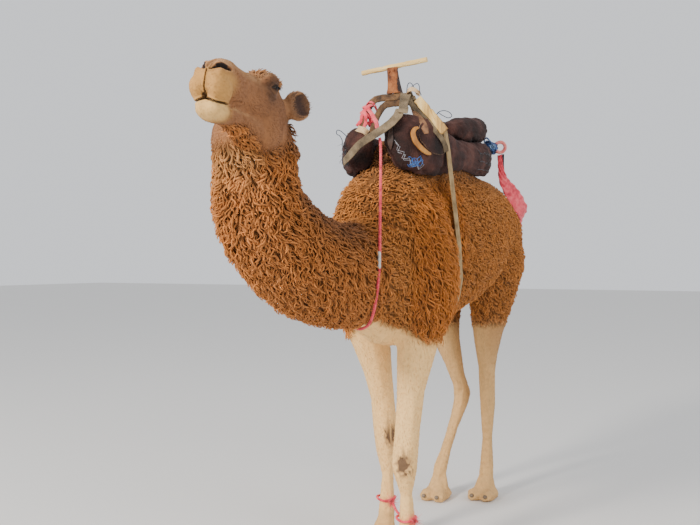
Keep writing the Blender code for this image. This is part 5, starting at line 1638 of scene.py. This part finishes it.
def make_eyes_and_nails():
    """Glossy dark eyes with a paler iris and a flat pupil, and horn nails."""
    for word, side in SIDES:
        centre, out, ahead, up = eye_axes(side)
        bm = bmesh.new()
        bmesh.ops.create_uvsphere(bm, u_segments=48, v_segments=32, radius=EYE_RADIUS)
        ball = object_of("eyeball_" + word, bm)
        mesh = ball.data
        points = points_of(mesh)
        way = unit(points)
        facing = way @ out
        cornea = 0.0016 * ramp(facing, 0.72, 0.9)
        set_points(mesh, centre + points + way * cornea[:, None])
        iris = ramp(facing, 0.76, 0.8)
        pupil = ramp(-np.hypot((way @ ahead) / 0.42, (way @ up) / 0.22), -1.15, -0.9) * (facing > 0)
        colours = blend(np.tile((0.012, 0.006, 0.005), (len(points), 1)), (0.03, 0.012, 0.005), iris)
        colours = blend(colours, (0.003, 0.003, 0.004), pupil)
        set_colour(mesh, colours)
        finish(ball, "eye", "eye", "eye_" + word)
        make_lids(word, side)
    for name in [n for n in NODES if n.startswith("toenail")]:
        nail = remade("horn_" + name, [name], 0.0018, 3)
        finish(nail, "nail", "toenail", name)


LASHES = 46
LID_DARK, LID_PALE = (0.02, 0.011, 0.008), (0.14, 0.067, 0.033)
LID_PROFILE = (  # the lids from their inner edge outwards: how far out, how high over the eye, how pale
    (0.0, -0.0006, 0.0), (0.0, 0.0006, 0.0), (0.0006, 0.0013, 0.05), (0.0018, 0.002, 0.15),
    (0.0034, 0.0023, 0.35), (0.0055, 0.0022, 0.55), (0.008, 0.0027, 0.8), (0.011, 0.0032, 1.0),
    (0.0145, 0.0037, 1.0), (0.0185, 0.004, 1.0), (0.0225, 0.0034, 1.0), (0.025, -0.003, 1.0),
)


def make_lids(word, side):
    """The lids, which hug the eye, and the long lashes that hang from the upper one."""
    eye = eye_axes(side)
    _, out, ahead, up = eye
    turns = circle(64)
    rings, tones = [], []
    for reach, rise, tone in LID_PROFILE:
        ring = []
        for turn in turns:
            along = LID_LENGTH * math.cos(turn)
            bend = 1 - (along / LID_LENGTH) ** 2
            upper = math.sin(turn) > 0
            high = LID_UP * bend if upper else -LID_DOWN * bend
            away = Vector((math.cos(turn), 1.4 * math.sin(turn))).normalized() * reach
            hood = 0.0012 * bend * bell(reach - 0.003, 0.003) if upper else 0.0
            ring.append(on_ball(along + away.x, high + away.y, eye, rise + hood))
        rings.append(ring)
        tones += [tone] * len(turns)
    lids = loft("lids_" + word, rings, True)
    tones = np.array(tones)[:, None]
    set_colour(lids.data, np.array(LID_DARK) * (1 - tones) + np.array(LID_PALE) * tones)
    finish(lids, "camel_fur", "head_hair")
    lashes = []
    rng = np.random.default_rng(SEED + 20 + side)
    for k in range(LASHES):
        t = (k + rng.random()) / LASHES
        along = LID_LENGTH * 0.95 * math.cos(math.pi * t)
        high = LID_UP * (1 - (along / LID_LENGTH) ** 2)
        root = on_ball(along, high, eye, 0.0012)
        grow = out * 0.7 + ahead * (0.5 * math.cos(math.pi * t) + rng.normal(0, 0.12)) - up * 0.45
        grow /= np.linalg.norm(grow)
        reach = rng.uniform(0.011, 0.018)
        line = [root, root + grow * reach * 0.5 - up * 0.002, root + grow * reach + up * 0.001]
        lashes.append(tube("lash", catmull(line, 6), 0.00055, 3, np.linspace(1, 0.2, 6)))
    finish(join("lashes_" + word, lashes), "lash", "eye")


# ---------------------------------------------------------------- putting it together
make_stage()
make_camera()
skin, fine_points, fine_weights = make_skin()
weights = region_weights(points_of(skin.data), fine_points, fine_weights)
weights = sculpt_head(skin.data, weights)
weights = sculpt_knees(skin.data, weights)
skin.data.shade_smooth()
# painted shade: the skin under the wool is darkened, as shade falls between the locks
under_wool_shade = 1.0 - 0.6 * weight_of(weights, *WOOL)[:, None]
set_colour(skin.data, markings(points_of(skin.data), normals_of(skin.data), weights) * under_wool_shade)
finish(skin, "camel_fur", "body_wool", *FLESH)
make_coat(skin, weights)
left_pad, right_pad = make_pads()
make_yarn(left_pad, right_pad)
make_wood()
make_steel()
make_straps(left_pad)
make_cords()
make_ropes()
make_crupper()
make_eyes_and_nails()
